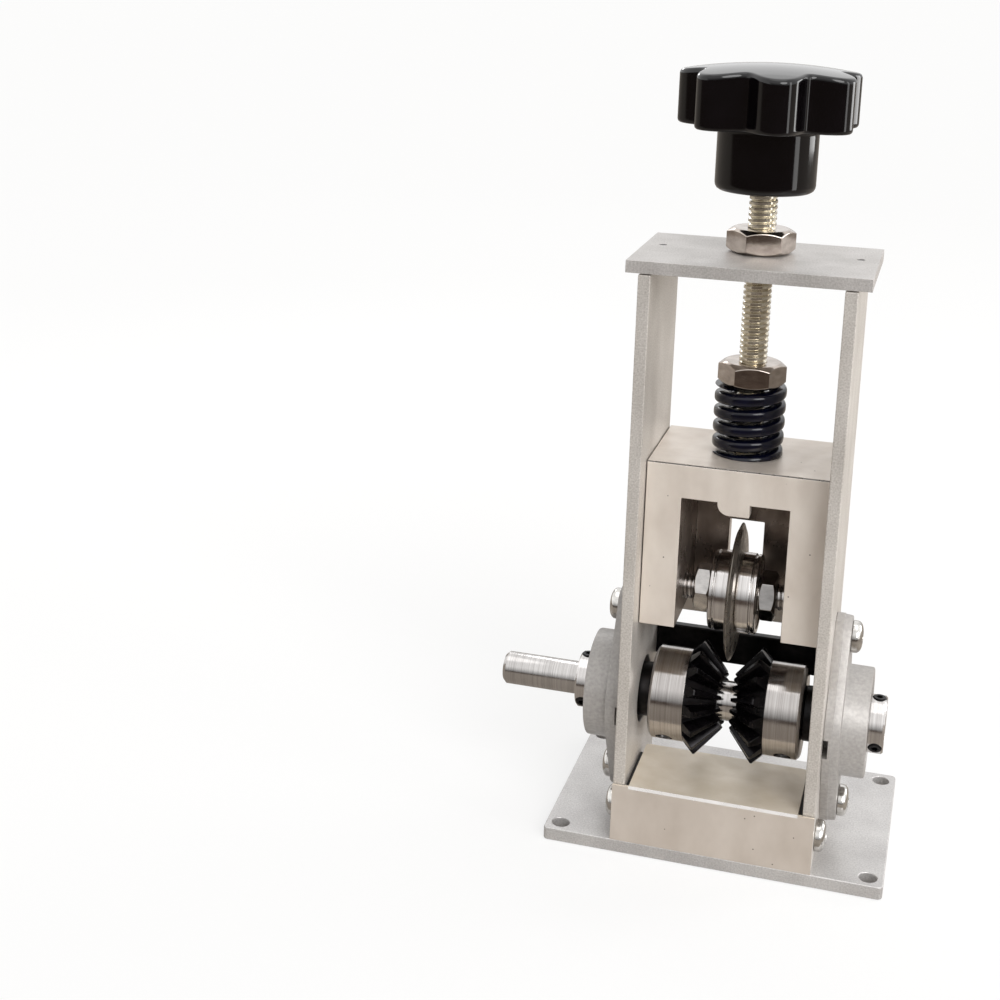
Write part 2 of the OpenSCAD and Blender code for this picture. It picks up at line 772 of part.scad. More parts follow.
module right_race() {
    color("silver") translate([0, blade_y, blade_z]) race();
}

module axle_spacer() {
    color("silver") translate([0, blade_y, blade_z])
        ring_x(-blade_t / 2, blade_t / 2, race_d, axle_d + 2 * fit);
}

module roller_balls() {
    color("silver") translate([0, blade_y, blade_z]) for (side = [-1, 1])
        balls(side * (blade_t + roller_w) / 2, roller_ball_at, roller_ball_r, roller_ball_count);
}

module blade() {
    edge = 0.1;
    color("#6f6a66") translate([0, blade_y, blade_z]) rotate([0, 90, 0]) rotate_extrude($fn = 96)
        polygon([[race_d / 2 + running, -blade_t / 2], [blade_d / 2 - bevel, -blade_t / 2],
            [blade_d / 2, -edge], [blade_d / 2, edge], [blade_d / 2 - bevel, blade_t / 2],
            [race_d / 2 + running, blade_t / 2]]);
}

module roller() {
    difference() {
        ring_x(blade_t / 2, stack_x, roller_d, 2 * roller_in);
        ball_groove(blade_t / 2 + roller_w / 2, roller_ball_at, roller_ball_r + running / 2);
    }
}

module left_roller() {
    color("silver") translate([0, blade_y, blade_z]) left_of_it() roller();
}

module right_roller() {
    color("silver") translate([0, blade_y, blade_z]) roller();
}

module roller_shields() {
    color("darkgray") translate([0, blade_y, blade_z]) for (side = [0, 1]) mirror([side, 0, 0])
        for (x = [blade_t / 2 + shield_inset, stack_x - shield_inset - shield_t])
            ring_x(x, x + shield_t, 2 * (roller_in - fit), race_d + 2 * running);
}

base_plate();
base_block();
left_side_plate();
right_side_plate();
top_plate();
top_dowels();
base_screws();
block_screws();
flange_screws();
cable_rest();
rest_pins();
lock_nut();
left_housing();
right_housing();
left_outer_ring();
right_outer_ring();
left_seals();
right_seals();
left_balls();
right_balls();
drive_shaft();
left_feed_wheel();
right_feed_wheel();
left_sleeve();
right_sleeve();
left_inner_ring();
right_inner_ring();
ring_set_screws();
hub_set_screws();
pressure_spring();
hand_screw();
spring_nut();
keeper_nut();
star_knob();
knob_insert();
sliding_block();
blade_axle();
axle_nuts();
left_race();
right_race();
axle_spacer();
roller_balls();
blade();
left_roller();
right_roller();
roller_shields();
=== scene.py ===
import math

import bmesh
import bpy
from mathutils import Matrix, Vector


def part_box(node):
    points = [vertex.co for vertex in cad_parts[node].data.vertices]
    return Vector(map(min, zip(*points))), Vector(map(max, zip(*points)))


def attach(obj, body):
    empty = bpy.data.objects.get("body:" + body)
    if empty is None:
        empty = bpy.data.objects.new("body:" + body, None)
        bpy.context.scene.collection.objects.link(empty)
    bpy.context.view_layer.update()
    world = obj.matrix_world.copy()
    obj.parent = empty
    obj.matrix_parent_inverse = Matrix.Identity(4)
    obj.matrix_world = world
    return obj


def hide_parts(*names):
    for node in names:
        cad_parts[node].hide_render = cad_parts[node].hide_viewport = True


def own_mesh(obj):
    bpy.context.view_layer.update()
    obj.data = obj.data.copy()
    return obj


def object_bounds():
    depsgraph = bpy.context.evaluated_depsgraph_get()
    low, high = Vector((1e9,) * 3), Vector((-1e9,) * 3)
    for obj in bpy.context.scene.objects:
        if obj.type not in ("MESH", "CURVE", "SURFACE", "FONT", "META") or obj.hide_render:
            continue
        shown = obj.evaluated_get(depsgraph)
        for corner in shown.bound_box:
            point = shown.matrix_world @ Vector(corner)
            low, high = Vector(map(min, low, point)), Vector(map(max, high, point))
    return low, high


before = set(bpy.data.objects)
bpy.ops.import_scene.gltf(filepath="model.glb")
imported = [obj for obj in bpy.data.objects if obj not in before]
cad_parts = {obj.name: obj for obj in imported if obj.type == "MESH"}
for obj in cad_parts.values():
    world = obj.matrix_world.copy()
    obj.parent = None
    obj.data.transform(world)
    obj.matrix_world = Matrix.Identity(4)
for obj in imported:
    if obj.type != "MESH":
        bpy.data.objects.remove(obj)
cadLow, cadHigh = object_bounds()
mm = 0.001
tiny = 0.0005   # points nearer than this many millimetres are one
print("frame loaded with", len(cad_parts), "nodes")


# Shapes are modelled in millimetres and come down to metres in finishPiece

def nodeBox(node):
    low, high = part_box(node)
    return low / mm, high / mm


def nodeCentre(node):
    return sum(nodeBox(node), Vector()) / 2


sideNames = {-1: "left", 1: "right"}


def sidedSpan(node, side):
    # Where a node starts and ends along X, counted outwards from the middle
    low, high = nodeBox(node)
    return (low.x, high.x) if side > 0 else (-high.x, -low.x)


def standing(centre, turn=0.0):
    return Matrix.Translation(centre) @ Matrix.Rotation(math.radians(turn), 4, "Z")


def facingX(centre, turn=0.0, side=1):
    # Lays a shape that was made along Z on the X axis, turned about itself first; side -1 mirrors it
    sided = Matrix.Translation(centre) @ Matrix.Scale(side, 4, (1, 0, 0))
    return sided @ Matrix.Rotation(math.pi / 2, 4, "Y") @ standing((0, 0, 0), turn)


def ringOf(radii, heights):
    # A ring of evenly spaced points with a radius for each, and a height for each or one for all
    count = len(radii)
    heights = heights if isinstance(heights, list) else [heights] * count
    return [(r * math.cos(2 * math.pi * i / count), r * math.sin(2 * math.pi * i / count), z)
            for i, (r, z) in enumerate(zip(radii, heights))]


def roundRing(radius, height, count):
    return ringOf([radius] * count, height)


def lathe(bm, profile, place, steps=72, closed=False):
    # Profile points are (height, radius), spun about Z and then put in place
    before = set(bm.verts)
    line = [bm.verts.new((radius, 0, height)) for height, radius in profile]
    pairs = list(zip(line, line[1:])) + ([(line[-1], line[0])] if closed else [])
    edges = [bm.edges.new(pair) for pair in pairs]
    bmesh.ops.spin(bm, geom=line + edges, cent=(0, 0, 0), axis=(0, 0, 1), dvec=(0, 0, 0),
                   angle=2 * math.pi, steps=steps, use_merge=True, use_duplicate=False)
    made = [v for v in bm.verts if v not in before]
    bmesh.ops.remove_doubles(bm, verts=made, dist=tiny)
    made = [v for v in bm.verts if v not in before]
    bmesh.ops.transform(bm, matrix=place, verts=made)


def stackRings(bm, rings, place, caps=True, closed=False):
    # Each ring is a list of points; a circle is extruded from ring to ring
    before = set(bm.verts)
    loop = bmesh.ops.create_circle(bm, cap_ends=False, segments=len(rings[0]), radius=1.0)["verts"]
    for vert, point in zip(loop, rings[0]):
        vert.co = point
    first = loop
    if caps:
        bm.faces.new(loop)
    for ring in rings[1:]:
        edges = [bm.edges.get((a, b)) for a, b in zip(loop, loop[1:] + loop[:1])]
        made = bmesh.ops.extrude_edge_only(bm, edges=edges)["geom"]
        fresh = {v for v in made if isinstance(v, bmesh.types.BMVert)}
        loop = [next(e.other_vert(v) for e in v.link_edges if e.other_vert(v) in fresh) for v in loop]
        for vert, point in zip(loop, ring):
            vert.co = point
    if caps:
        bm.faces.new(loop)
    if closed:
        ends = [bm.edges.get((a, b)) for r in (first, loop) for a, b in zip(r, r[1:] + r[:1])]
        bmesh.ops.bridge_loops(bm, edges=ends)
    made = [v for v in bm.verts if v not in before]
    bmesh.ops.transform(bm, matrix=place, verts=made)


def addBox(bm, corner, opposite):
    low = Vector([min(pair) for pair in zip(corner, opposite)])
    high = Vector([max(pair) for pair in zip(corner, opposite)])
    made = bmesh.ops.create_cube(bm, size=1.0)["verts"]
    bmesh.ops.scale(bm, vec=high - low, verts=made)
    bmesh.ops.translate(bm, vec=(low + high) / 2, verts=made)
    return made


def addRod(bm, place, length, radius, steps=48):
    lathe(bm, [(0, 0), (0, radius), (length, radius), (length, 0)], place, steps)


def addObject(name, data):
    made = bpy.data.objects.new(name, data)
    bpy.context.scene.collection.objects.link(made)
    return made


def meshObject(name, bm):
    mesh = bpy.data.meshes.new(name)
    bm.to_mesh(mesh)
    bm.free()
    return addObject(name, mesh)


def carve(bm, cutters):
    # Cuts the cutters' shapes out of the shape, and gives back a new bmesh
    for part in (bm, cutters):
        bmesh.ops.remove_doubles(part, verts=part.verts, dist=tiny)
        bmesh.ops.recalc_face_normals(part, faces=part.faces)
    body = meshObject("carved", bm)
    tool = meshObject("cutter", cutters)
    cut = body.modifiers.new("cut", "BOOLEAN")
    cut.operation = "DIFFERENCE"
    cut.solver = "EXACT"
    cut.use_self = True
    cut.object = tool
    bpy.context.view_layer.update()
    done = bmesh.new()
    done.from_object(body, bpy.context.evaluated_depsgraph_get())
    for spent in (body, tool):
        bpy.data.objects.remove(spent)
    return done


def cutOut(bm, add, *shape):
    # Carves one shape that one of the add functions makes
    cutters = bmesh.new()
    add(cutters, *shape)
    return carve(bm, cutters)


def addInto(group, part):
    # Moves a carved part into the bmesh of its group
    passing = bpy.data.meshes.new("passing")
    part.to_mesh(passing)
    part.free()
    group.from_mesh(passing)
    bpy.data.meshes.remove(passing)


def addEdgeCutter(cutters, reach, width, y, z):
    # A bar that stands on its corner, for a small chamfer along a front top edge
    bar = addBox(cutters, (-reach, -width, -width), (reach, width, width))
    place = Matrix.Translation((0, y, z)) @ Matrix.Rotation(math.pi / 4, 4, "X")
    bmesh.ops.transform(cutters, verts=bar, matrix=place)


def finishPiece(name, bm, body, materials, nodes, soften=0.0, sharpAngle=32):
    # Soften is the width of the rounding on edges sharper than sharpAngle degrees
    bmesh.ops.remove_doubles(bm, verts=bm.verts, dist=tiny)
    bmesh.ops.recalc_face_normals(bm, faces=bm.faces)
    bmesh.ops.scale(bm, vec=(mm, mm, mm), verts=bm.verts)
    for face in bm.faces:
        face.smooth = True
    made = meshObject(name, bm)
    made.data.set_sharp_from_angle(angle=math.radians(sharpAngle))
    if soften:
        edge = made.modifiers.new("softEdges", "BEVEL")
        edge.width = soften * mm
        edge.segments = 2
        edge.limit_method = "ANGLE"
        edge.angle_limit = math.radians(sharpAngle)
        edge.harden_normals = True
        edge.use_clamp_overlap = True
    for material in materials if isinstance(materials, list) else [materials]:
        made.data.materials.append(material)
    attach(made, body)
    if nodes:
        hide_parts(*nodes)
    return made


# Materials

def linear(hexCode):
    channels = [int(hexCode[i:i + 2], 16) / 255 for i in (1, 3, 5)]
    return [c / 12.92 if c <= 0.04045 else ((c + 0.055) / 1.055) ** 2.4 for c in channels] + [1.0]


def addNode(tree, kind, settings=None, links=None):
    made = tree.nodes.new("ShaderNode" + kind)
    for key, value in (settings or {}).items():
        if isinstance(key, int) or key in made.inputs:
            made.inputs[key].default_value = value
        else:
            setattr(made, key, value)
    for key, source in (links or {}).items():
        tree.links.new(source, made.inputs[key])
    return made


def startMaterial(name, settings):
    material = bpy.data.materials.new(name)
    material.use_nodes = True
    tree = material.node_tree
    shader = tree.nodes["Principled BSDF"]
    for key, value in settings.items():
        shader.inputs[key].default_value = value
    where = addNode(tree, "TexCoord").outputs["Object"]
    return material, tree, shader, where


def grain(tree, where, x, y, z, detail):
    # Noise whose grain is so many millimetres along X, Y and Z
    mapped = addNode(tree, "Mapping", {"Scale": [1 / (size * mm) for size in (x, y, z)]}, {"Vector": where})
    noise = addNode(tree, "TexNoise", {"Scale": 1.0, "Detail": detail}, {"Vector": mapped.outputs[0]})
    return noise.outputs[0]


usualSpread = (0.3, 0.7)   # the part of a noise that holds nearly all of it


def dressShader(tree, shader, tones, gloss, reliefs):
    # Tones are (pattern, dark, light, spread), gloss is (pattern, low, high), and each relief is
    # (pattern, depth in millimetres, strength), laid on the one before
    pattern, dark, light, spread = tones
    spread = addNode(tree, "MapRange", {"From Min": spread[0], "From Max": spread[1]}, {"Value": pattern})
    colour = addNode(tree, "Mix", {"data_type": "RGBA", 6: linear(dark), 7: linear(light)},
                     {0: spread.outputs[0]})
    tree.links.new(colour.outputs[2], shader.inputs["Base Color"])
    if gloss:
        pattern, low, high = gloss
        spread = addNode(tree, "MapRange", {"From Min": usualSpread[0], "From Max": usualSpread[1],
                                            "To Min": low, "To Max": high}, {"Value": pattern})
        tree.links.new(spread.outputs[0], shader.inputs["Roughness"])
    links = {}
    for pattern, depth, strength in reliefs:
        links["Height"] = pattern
        bump = addNode(tree, "Bump", {"Distance": depth * mm, "Strength": strength}, links)
        links["Normal"] = bump.outputs[0]
    tree.links.new(links["Normal"], shader.inputs["Normal"])
    return colour.outputs[2]


def blastedPlate(name, dark, light, roughness):
    # Bead-blasted, clear-anodised aluminium: an even satin grey with a fine sparkle and faint clouds
    material, tree, shader, where = startMaterial(name, {"Metallic": 0.55})
    sparkle = grain(tree, where, 0.5, 0.5, 0.5, 2)   # coarser than real grit, so that it shows
    clouds = grain(tree, where, 14, 14, 22, 4)
    tones = addNode(tree, "Mix", {"data_type": "FLOAT", 0: 0.6}, {2: clouds, 3: sparkle}).outputs[0]
    dressShader(tree, shader, (tones, dark, light, (0.36, 0.64)),
                (grain(tree, where, 5, 5, 9, 4), roughness - 0.05, roughness + 0.06),
                [(sparkle, 0.012, 0.7)])
    return material


sidePlateFinish = blastedPlate("anodisedSidePlate", "#bdb7b0", "#e1dcd6", 0.42)
topPlateFinish = blastedPlate("anodisedTopPlate", "#ada9a5", "#cfcbc8", 0.42)
basePlateFinish = blastedPlate("anodisedBasePlate", "#b0adac", "#cfcdcb", 0.46)

# The wave node runs 20 radians to a unit, so a spacing is the millimetres of one radian
milled = {"gloss": (0.38, 0.43), "waveRate": 20, "pitColour": "#5d534b", "pitSpacing": 5.2,
          "pitSize": (0.028, 0.05)}


def milledFinish(name, dark, light, centre, spacing):
    # Face-milled bare aluminium: warm tone, faint arcs from the cutter, a few pits and a soft gloss
    material, tree, shader, where = startMaterial(name, {"Metallic": 0.42})
    moved = addNode(tree, "Mapping", {"Location": [-c * mm for c in centre]}, {"Vector": where})
    arcs = addNode(tree, "TexWave", {"wave_type": "RINGS", "rings_direction": "SPHERICAL",
                                     "Scale": 1 / (spacing * mm) / milled["waveRate"],
                                     "Distortion": 1.2, "Detail": 2.0, "Detail Scale": 1.5},
                   {"Vector": moved.outputs[0]}).outputs[1]
    surface = dressShader(tree, shader, (grain(tree, where, 9, 9, 16, 4), dark, light, usualSpread),
                          (arcs, *milled["gloss"]),
                          [(arcs, 0.002, 0.5), (grain(tree, where, 0.35, 1.6, 0.35, 2), 0.008, 0.5)])
    cells = addNode(tree, "TexVoronoi", {"Scale": 1 / (milled["pitSpacing"] * mm)}, {"Vector": where})
    pits = addNode(tree, "MapRange", {"From Min": milled["pitSize"][0], "From Max": milled["pitSize"][1]},
                   {"Value": cells.outputs["Distance"]})
    pitted = addNode(tree, "Mix", {"data_type": "RGBA", 6: linear(milled["pitColour"])},
                     {0: pits.outputs[0], 7: surface})
    tree.links.new(pitted.outputs[2], shader.inputs["Base Color"])
    return material


# The arcs' centres lie beside the blocks, where the cutter's spindle stood
slidingBlockFinish = milledFinish("milledBareAluminium", "#d5cabf", "#e5dcd2", (60, -20, 122), 1.1)
baseBlockFinish = milledFinish("milledBaseAluminium", "#c4b9ae", "#d2c8be", (-90, -30, 22), 1.6)


def grainedFinish(name, settings, toneGrain, tones, glossGrain, gloss, reliefs, spread=usualSpread):
    # A finish from noise alone; each grain is its millimetres along X, Y and Z and its detail
    material, tree, shader, where = startMaterial(name, settings)
    dressShader(tree, shader, (grain(tree, where, *toneGrain), *tones, spread),
                gloss and (grain(tree, where, *glossGrain), *gloss),
                [(grain(tree, where, *size), depth, strength) for size, depth, strength in reliefs])
    return material


# Walls cut by the side of an end mill: smoother, with faint upright lines, and a darker colour that is
# painted shade inside the pocket
pocketShadeFinish = grainedFinish("endMilledAluminiumPaintedShade", {"Metallic": 0.7}, (7, 7, 11, 3),
                             ("#6a5d55", "#a09389"), (4, 4, 8, 3), (0.24, 0.34),
                             [((0.7, 0.7, 14, 2), 0.004, 0.4)])
# Flat-ground top of the base block: a tan, evenly clouded satin with little reflection
landFinish = grainedFinish("flatGroundAluminium", {"Metallic": 0.25}, (8, 6, 8, 4),
                           ("#dccfbb", "#e9dece"), (3, 3, 3, 3), (0.38, 0.5),
                           [((0.5, 0.5, 0.5, 2), 0.008, 0.5)])


def polishedMetal(name, tones, roughness, lines, metallic=1.0, depth=0.004):
    # Turned, ground or plated metal: lines are the millimetres of its streaks along X, Y and Z
    return grainedFinish(name, {"Metallic": metallic}, (*lines, 3), tones, (3, 3, 3, 3),
                         (roughness * 0.7, roughness * 1.35), [((*lines, 3), depth, 0.6)])


turnedAlongX = (0.35, 30, 30)
turnedAlongZ = (30, 30, 0.35)
# Turned steel of the hubs: fine rings of tool marks in a grey shine
hubFinish = polishedMetal("turnedHubSteel", ("#a39e9b", "#bfbbb8"), 0.16, turnedAlongX, depth=0.001)
# Ground rings of the bearings: brighter, with hardly any marks
ringFinish = polishedMetal("groundBearingSteel", ("#bcb8b6", "#d8d5d3"), 0.15, turnedAlongX, depth=0.001)
# Turned shaft: the same rings, a little softer
shaftFinish = polishedMetal("turnedShaftSteel", ("#adaaa8", "#cfccca"), 0.18, turnedAlongX, depth=0.0015)
# Ground blade: a plain grey with a soft gloss
bladeFinish = polishedMetal("groundBladeSteel", ("#9a9288", "#a39b91"), 0.3, (6, 6, 6), 0.9, 0.001)
# Nickel plate on the big nuts: a warm, dark mirror
nutFinish = polishedMetal("nickelPlatedNut", ("#a0958d", "#c4bab1"), 0.15, (4, 4, 2))
# Yellowish zinc plate on the rod's thread
threadFinish = polishedMetal("zincPlatedThread", ("#d8d0bd", "#f0eadb"), 0.2, (3, 3, 3), 0.92)
# Bright nickel plate on the screw heads
screwFinish = polishedMetal("nickelPlatedScrew", ("#b4b1ad", "#dcdad6"), 0.13, (2, 2, 2))
# Bluish zinc plate on the axle's nuts
axleNutFinish = polishedMetal("zincPlatedNut", ("#a09d9b", "#bdbab7"), 0.16, (4, 4, 2))
# Burnished edges of the blocks: a thin light line
edgeFinish = polishedMetal("burnishedAluminiumEdge", ("#bfbbb7", "#cdcac7"), 0.3, (5, 5, 5), 0.85)
# Turned brass of the knob's insert
brassFinish = polishedMetal("turnedBrass", ("#a8843f", "#c9a65f"), 0.3, turnedAlongZ)


def blackOxide(name, tones, roughness):
    # Black-oxide steel: nearly black with a thin oily gloss and lighter rubbed spots
    return grainedFinish(name, {"Metallic": 0.7}, (2.2, 2.2, 2.2, 4), tones, (1.5, 1.5, 1.5, 3),
                         (roughness - 0.06, roughness + 0.1), [((0.4, 0.4, 0.4, 2), 0.008, 0.5)],
                         spread=(0.35, 0.75))


gearFinish = blackOxide("blackOxideGear", ("#080708", "#1b181b"), 0.2)
darkSteelFinish = blackOxide("blackOxideSteel", ("#0c0b0c", "#221f20"), 0.34)
# Die-cast zinc with a grey enamel: slightly pebbled, soft highlights
castingFinish = grainedFinish("greyEnamelCasting", {"Metallic": 0.25}, (0.9, 0.9, 0.9, 4),
                              ("#9a9693", "#ada9a5"), (3, 3, 3, 3), (0.36, 0.5),
                              [((2.5, 2.5, 2.5, 3), 0.05, 0.6), ((0.5, 0.5, 0.5, 2), 0.03, 0.8)])
# Moulded phenolic: deep black with a hard clear gloss and a very slight orange peel
phenolicFinish = grainedFinish("mouldedPhenolic", {"IOR": 1.47}, (9, 9, 9, 3), ("#040304", "#080608"),
                               (4, 4, 4, 3), (0.06, 0.1), [((3, 3, 3, 2), 0.006, 0.4)])
# Spring steel in blue-black lacquer: nearly black, with a wet gloss
lacquerFinish = grainedFinish("lacqueredSpringSteel", {"IOR": 1.42}, (3, 3, 1.5, 4), ("#03040d", "#080a1d"),
                              (1.5, 1.5, 1, 3), (0.1, 0.2), [((0.9, 0.9, 0.5, 3), 0.02, 0.5)])
# Nitrile rubber seal: matt black with a soft sheen
sealFinish = grainedFinish("nitrileRubber", {"Roughness": 0.6, "Sheen Weight": 0.15},
                           (1.5, 1.5, 1.5, 3), ("#141415", "#222224"), None, None,
                           [((0.5, 0.5, 0.5, 2), 0.01, 0.5)])
print("materials ready")


# Frame: base plate, base block, side plates, top plate

feedAxis = nodeCentre("drive_shaft")
feedAxis.x = 0
screwAxis = nodeCentre("hand_screw")
screwAxis.z = 0
bladeAxis = nodeCentre("blade")
bladeAxis.x = 0


def onScrewAxis(height, turn=0.0):
    return standing((screwAxis.x, screwAxis.y, height), turn)


plates = {"soften": 0.35, "blockSoften": 0.45, "cornerRadius": 1.5, "topGap": 0.4, "shaftHole": 10.2,
          "screwHole": 4.25, "cornerHole": 2.6, "cornerInset": 4.5}


def platePiece(name, node, material, holes=(), soften=plates["soften"], cornerRadius=0, topGap=0):
    # Holes are (place, length, radius); the gap shows as a seam under the plate above
    low, high = nodeBox(node)
    bm = bmesh.new()
    addBox(bm, low, (high.x, high.y, high.z - topGap))
    if cornerRadius:
        upright = [e for e in bm.edges if abs(e.verts[0].co.z - e.verts[1].co.z) > 1]
        bmesh.ops.bevel(bm, geom=upright, offset=cornerRadius, affect="EDGES", segments=6, profile=0.5,
                        material=-1)
    if holes:
        cutters = bmesh.new()
        for hole in holes:
            addRod(cutters, *hole)
        bm = carve(bm, cutters)
    finishPiece(name, bm, "frame", material, [node], soften)


holeX, holeY = (size - plates["cornerInset"] for size in nodeBox("base_plate")[1].xy)
platePiece("basePlate", "base_plate", basePlateFinish,
           [(standing((x, y, -2)), 12, plates["cornerHole"])
            for x in (-holeX, holeX) for y in (-holeY, holeY)], cornerRadius=plates["cornerRadius"])


def baseBlockPiece():
    # A full-width lip stands in front of the side plates, which sit in seams beside the land; black strips
    # sunk in the seams are painted shade
    size = {"plate": 3.5, "lip": 1.0, "lipGap": 0.35, "gapWidth": 1.3, "gapDepth": 3.0, "shadeStripDepth": 1.6,
            "rearRadius": 3.0, "chamfer": 0.5}
    low, high = nodeBox("base_block")
    inner = high.x - size["plate"]
    land = inner - size["gapWidth"]
    gapFront, gapFloor = low.y + size["lip"], high.z - size["gapDepth"]
    bm = bmesh.new()
    addBox(bm, low, (high.x, gapFront - size["lipGap"], high.z))
    core = addBox(bm, (-inner, low.y, low.z), (inner, high.y, high.z))
    rear = [e for e in bm.edges if set(e.verts) <= set(core) and all(v.co.y > high.y - 0.01 for v in e.verts)
            and abs(e.verts[0].co.x - e.verts[1].co.x) < 0.01]
    bmesh.ops.bevel(bm, geom=rear, offset=size["rearRadius"], affect="EDGES", segments=8, profile=0.5,
                    material=-1)
    cutters = bmesh.new()
    shadeStrips = bmesh.new()
    for side in (-1, 1):
        addBox(cutters, (side * land, gapFront, gapFloor), (side * (inner + 1), high.y + 1, high.z + 1))
        addBox(shadeStrips, (side * land, gapFront, gapFloor),
               (side * (inner - 0.05), high.y - size["rearRadius"], high.z - size["shadeStripDepth"]))
    addEdgeCutter(cutters, land, size["chamfer"], low.y, high.z)
    bm = carve(bm, cutters)
    for face in bm.faces:
        if face.calc_center_median().z > high.z - 0.01:
            face.material_index = 1
        elif face.normal.z > 0.5 and face.calc_center_median().y < gapFront:
            face.material_index = 2
    finishPiece("baseBlock", bm, "frame", [baseBlockFinish, landFinish, edgeFinish], ["base_block"],
                plates["blockSoften"])
    # The black seam strips are painted shade
    finishPiece("gapShadeStrips", shadeStrips, "frame", sealFinish, ())


baseBlockPiece()
shaftHole = (facingX((-40, feedAxis.y, feedAxis.z)), 80, plates["shaftHole"])
for side, name in sideNames.items():
    platePiece(name + "SidePlate", name + "_side_plate", sidePlateFinish, [shaftHole],
               topGap=plates["topGap"])
low, high = nodeBox("top_dowels")
dowel = {"radius": 1.0, "gap": 0.16, "chamfer": 0.2}
dowelX, dowelY = high.x - dowel["radius"], (low.y + high.y) / 2
holeStart = nodeBox("top_plate")[0].z - 2
platePiece("topPlate", "top_plate", topPlateFinish,
           [(onScrewAxis(holeStart), 10, plates["screwHole"])]
           + [(standing((x, dowelY, holeStart)), 10, dowel["radius"] + dowel["gap"])
              for x in (-dowelX, dowelX)])
platePiece("cableRest", "cable_rest", darkSteelFinish, soften=0.5)
bm = bmesh.new()
r, edge, length = dowel["radius"], dowel["chamfer"], high.z - low.z - 0.1
for x in (-dowelX, dowelX):
    lathe(bm, [(0, 0), (0, r - edge), (edge, r), (length - edge, r), (length, r - edge), (length, 0)],
          standing((x, dowelY, low.z)), 24)
finishPiece("topDowels", bm, "frame", darkSteelFinish, ["top_dowels"])
print("frame pieces ready")


# Screws with a cross recess

panHead = {"radius": 4.7, "height": 3.2, "recess": 2.5, "recessDepth": 1.7, "bar": 0.95, "taper": 0.55}


def panHeadScrews(name, node, seats, turns):
    # Seats are (x, y, z, side), with the head's seat at x and side the way it points
    bm = bmesh.new()
    r, h = panHead["radius"], panHead["height"]
    wide, long = panHead["bar"] / 2, panHead["recess"]
    dome = [(h * (0.42 + 0.58 * math.sin(math.radians(a))), r * math.cos(math.radians(a)) ** 0.62)
            for a in range(0, 88, 8)]
    for (x, y, z, side), turn in zip(seats, turns):
        one = bmesh.new()
        lathe(one, [(0, 0), (0, r - 0.35), (0.3, r)] + dome + [(h, 0)], Matrix(), 56)
        cutters = bmesh.new()
        for quarter in (0, 90):
            bar = addBox(cutters, (-long, -wide, h - panHead["recessDepth"]), (long, wide, h + 1))
            for vert in bar:
                if vert.co.z < h:
                    vert.co.x *= panHead["taper"]
            bmesh.ops.transform(cutters, matrix=standing((0, 0, 0), quarter), verts=bar)
        one = carve(one, cutters)
        bmesh.ops.transform(one, matrix=facingX((x, y, z), turn, side), verts=one.verts)
        addInto(bm, one)
    finishPiece(name, bm, "frame", screwFinish, [node], 0.12, 40)


flangeLow, flangeHigh = nodeBox("flange_screws")
flangeX = flangeHigh.x - panHead["height"]
flangeZ = (flangeLow.z + panHead["radius"], flangeHigh.z - panHead["radius"])
panHeadScrews("flangeScrews", "flange_screws",
              [(side * flangeX, feedAxis.y, z, side) for side in (-1, 1) for z in flangeZ], (20, 65, 35, 80))
blockX = nodeBox("block_screws")[1].x - panHead["height"]
blockScrew = nodeCentre("block_screws")
panHeadScrews("blockScrews", "block_screws",
              [(side * blockX, blockScrew.y, blockScrew.z, side) for side in (-1, 1)], (10, 50))
print("screws ready")


# Nuts

def chamferedNut(bm, place, acrossFlats, height, bore, count=72):
    flat = acrossFlats / 2
    face, mouth, mouthDepth = flat * 0.9, bore * 1.12, bore * 0.12
    outline = [flat / math.cos((2 * math.pi * i / count + math.pi / 6) % (math.pi / 3) - math.pi / 6)
               for i in range(count)]
    drops = [max(0.0, r - face) * math.tan(math.radians(30)) for r in outline]
    rings = [roundRing(r, z, count) for r, z in ((bore, mouthDepth), (mouth, 0), (face, 0))]
    rings += [ringOf(outline, drops), ringOf(outline, [height - drop for drop in drops])]
    rings += [roundRing(r, height - z, count) for r, z in ((face, 0), (mouth, 0), (bore, mouthDepth))]
    stackRings(bm, rings, place, caps=False, closed=True)


nuts = {"big": 17.0, "small": 13.0, "bore": 3.65, "axleBore": 3.7}


def nutPiece(name, node, body, acrossFlats, turn):
    low, high = nodeBox(node)
    bm = bmesh.new()
    chamferedNut(bm, onScrewAxis(low.z, turn), acrossFlats, high.z - low.z, nuts["bore"])
    finishPiece(name, bm, body, nutFinish, [node], 0.3, 24)


nutPiece("lockNut", "lock_nut", "frame", nuts["big"], 102)
nutPiece("springNut", "spring_nut", "screw", nuts["big"], 97.4)
nutPiece("keeperNut", "keeper_nut", "screw", nuts["small"], 90)


# Threads

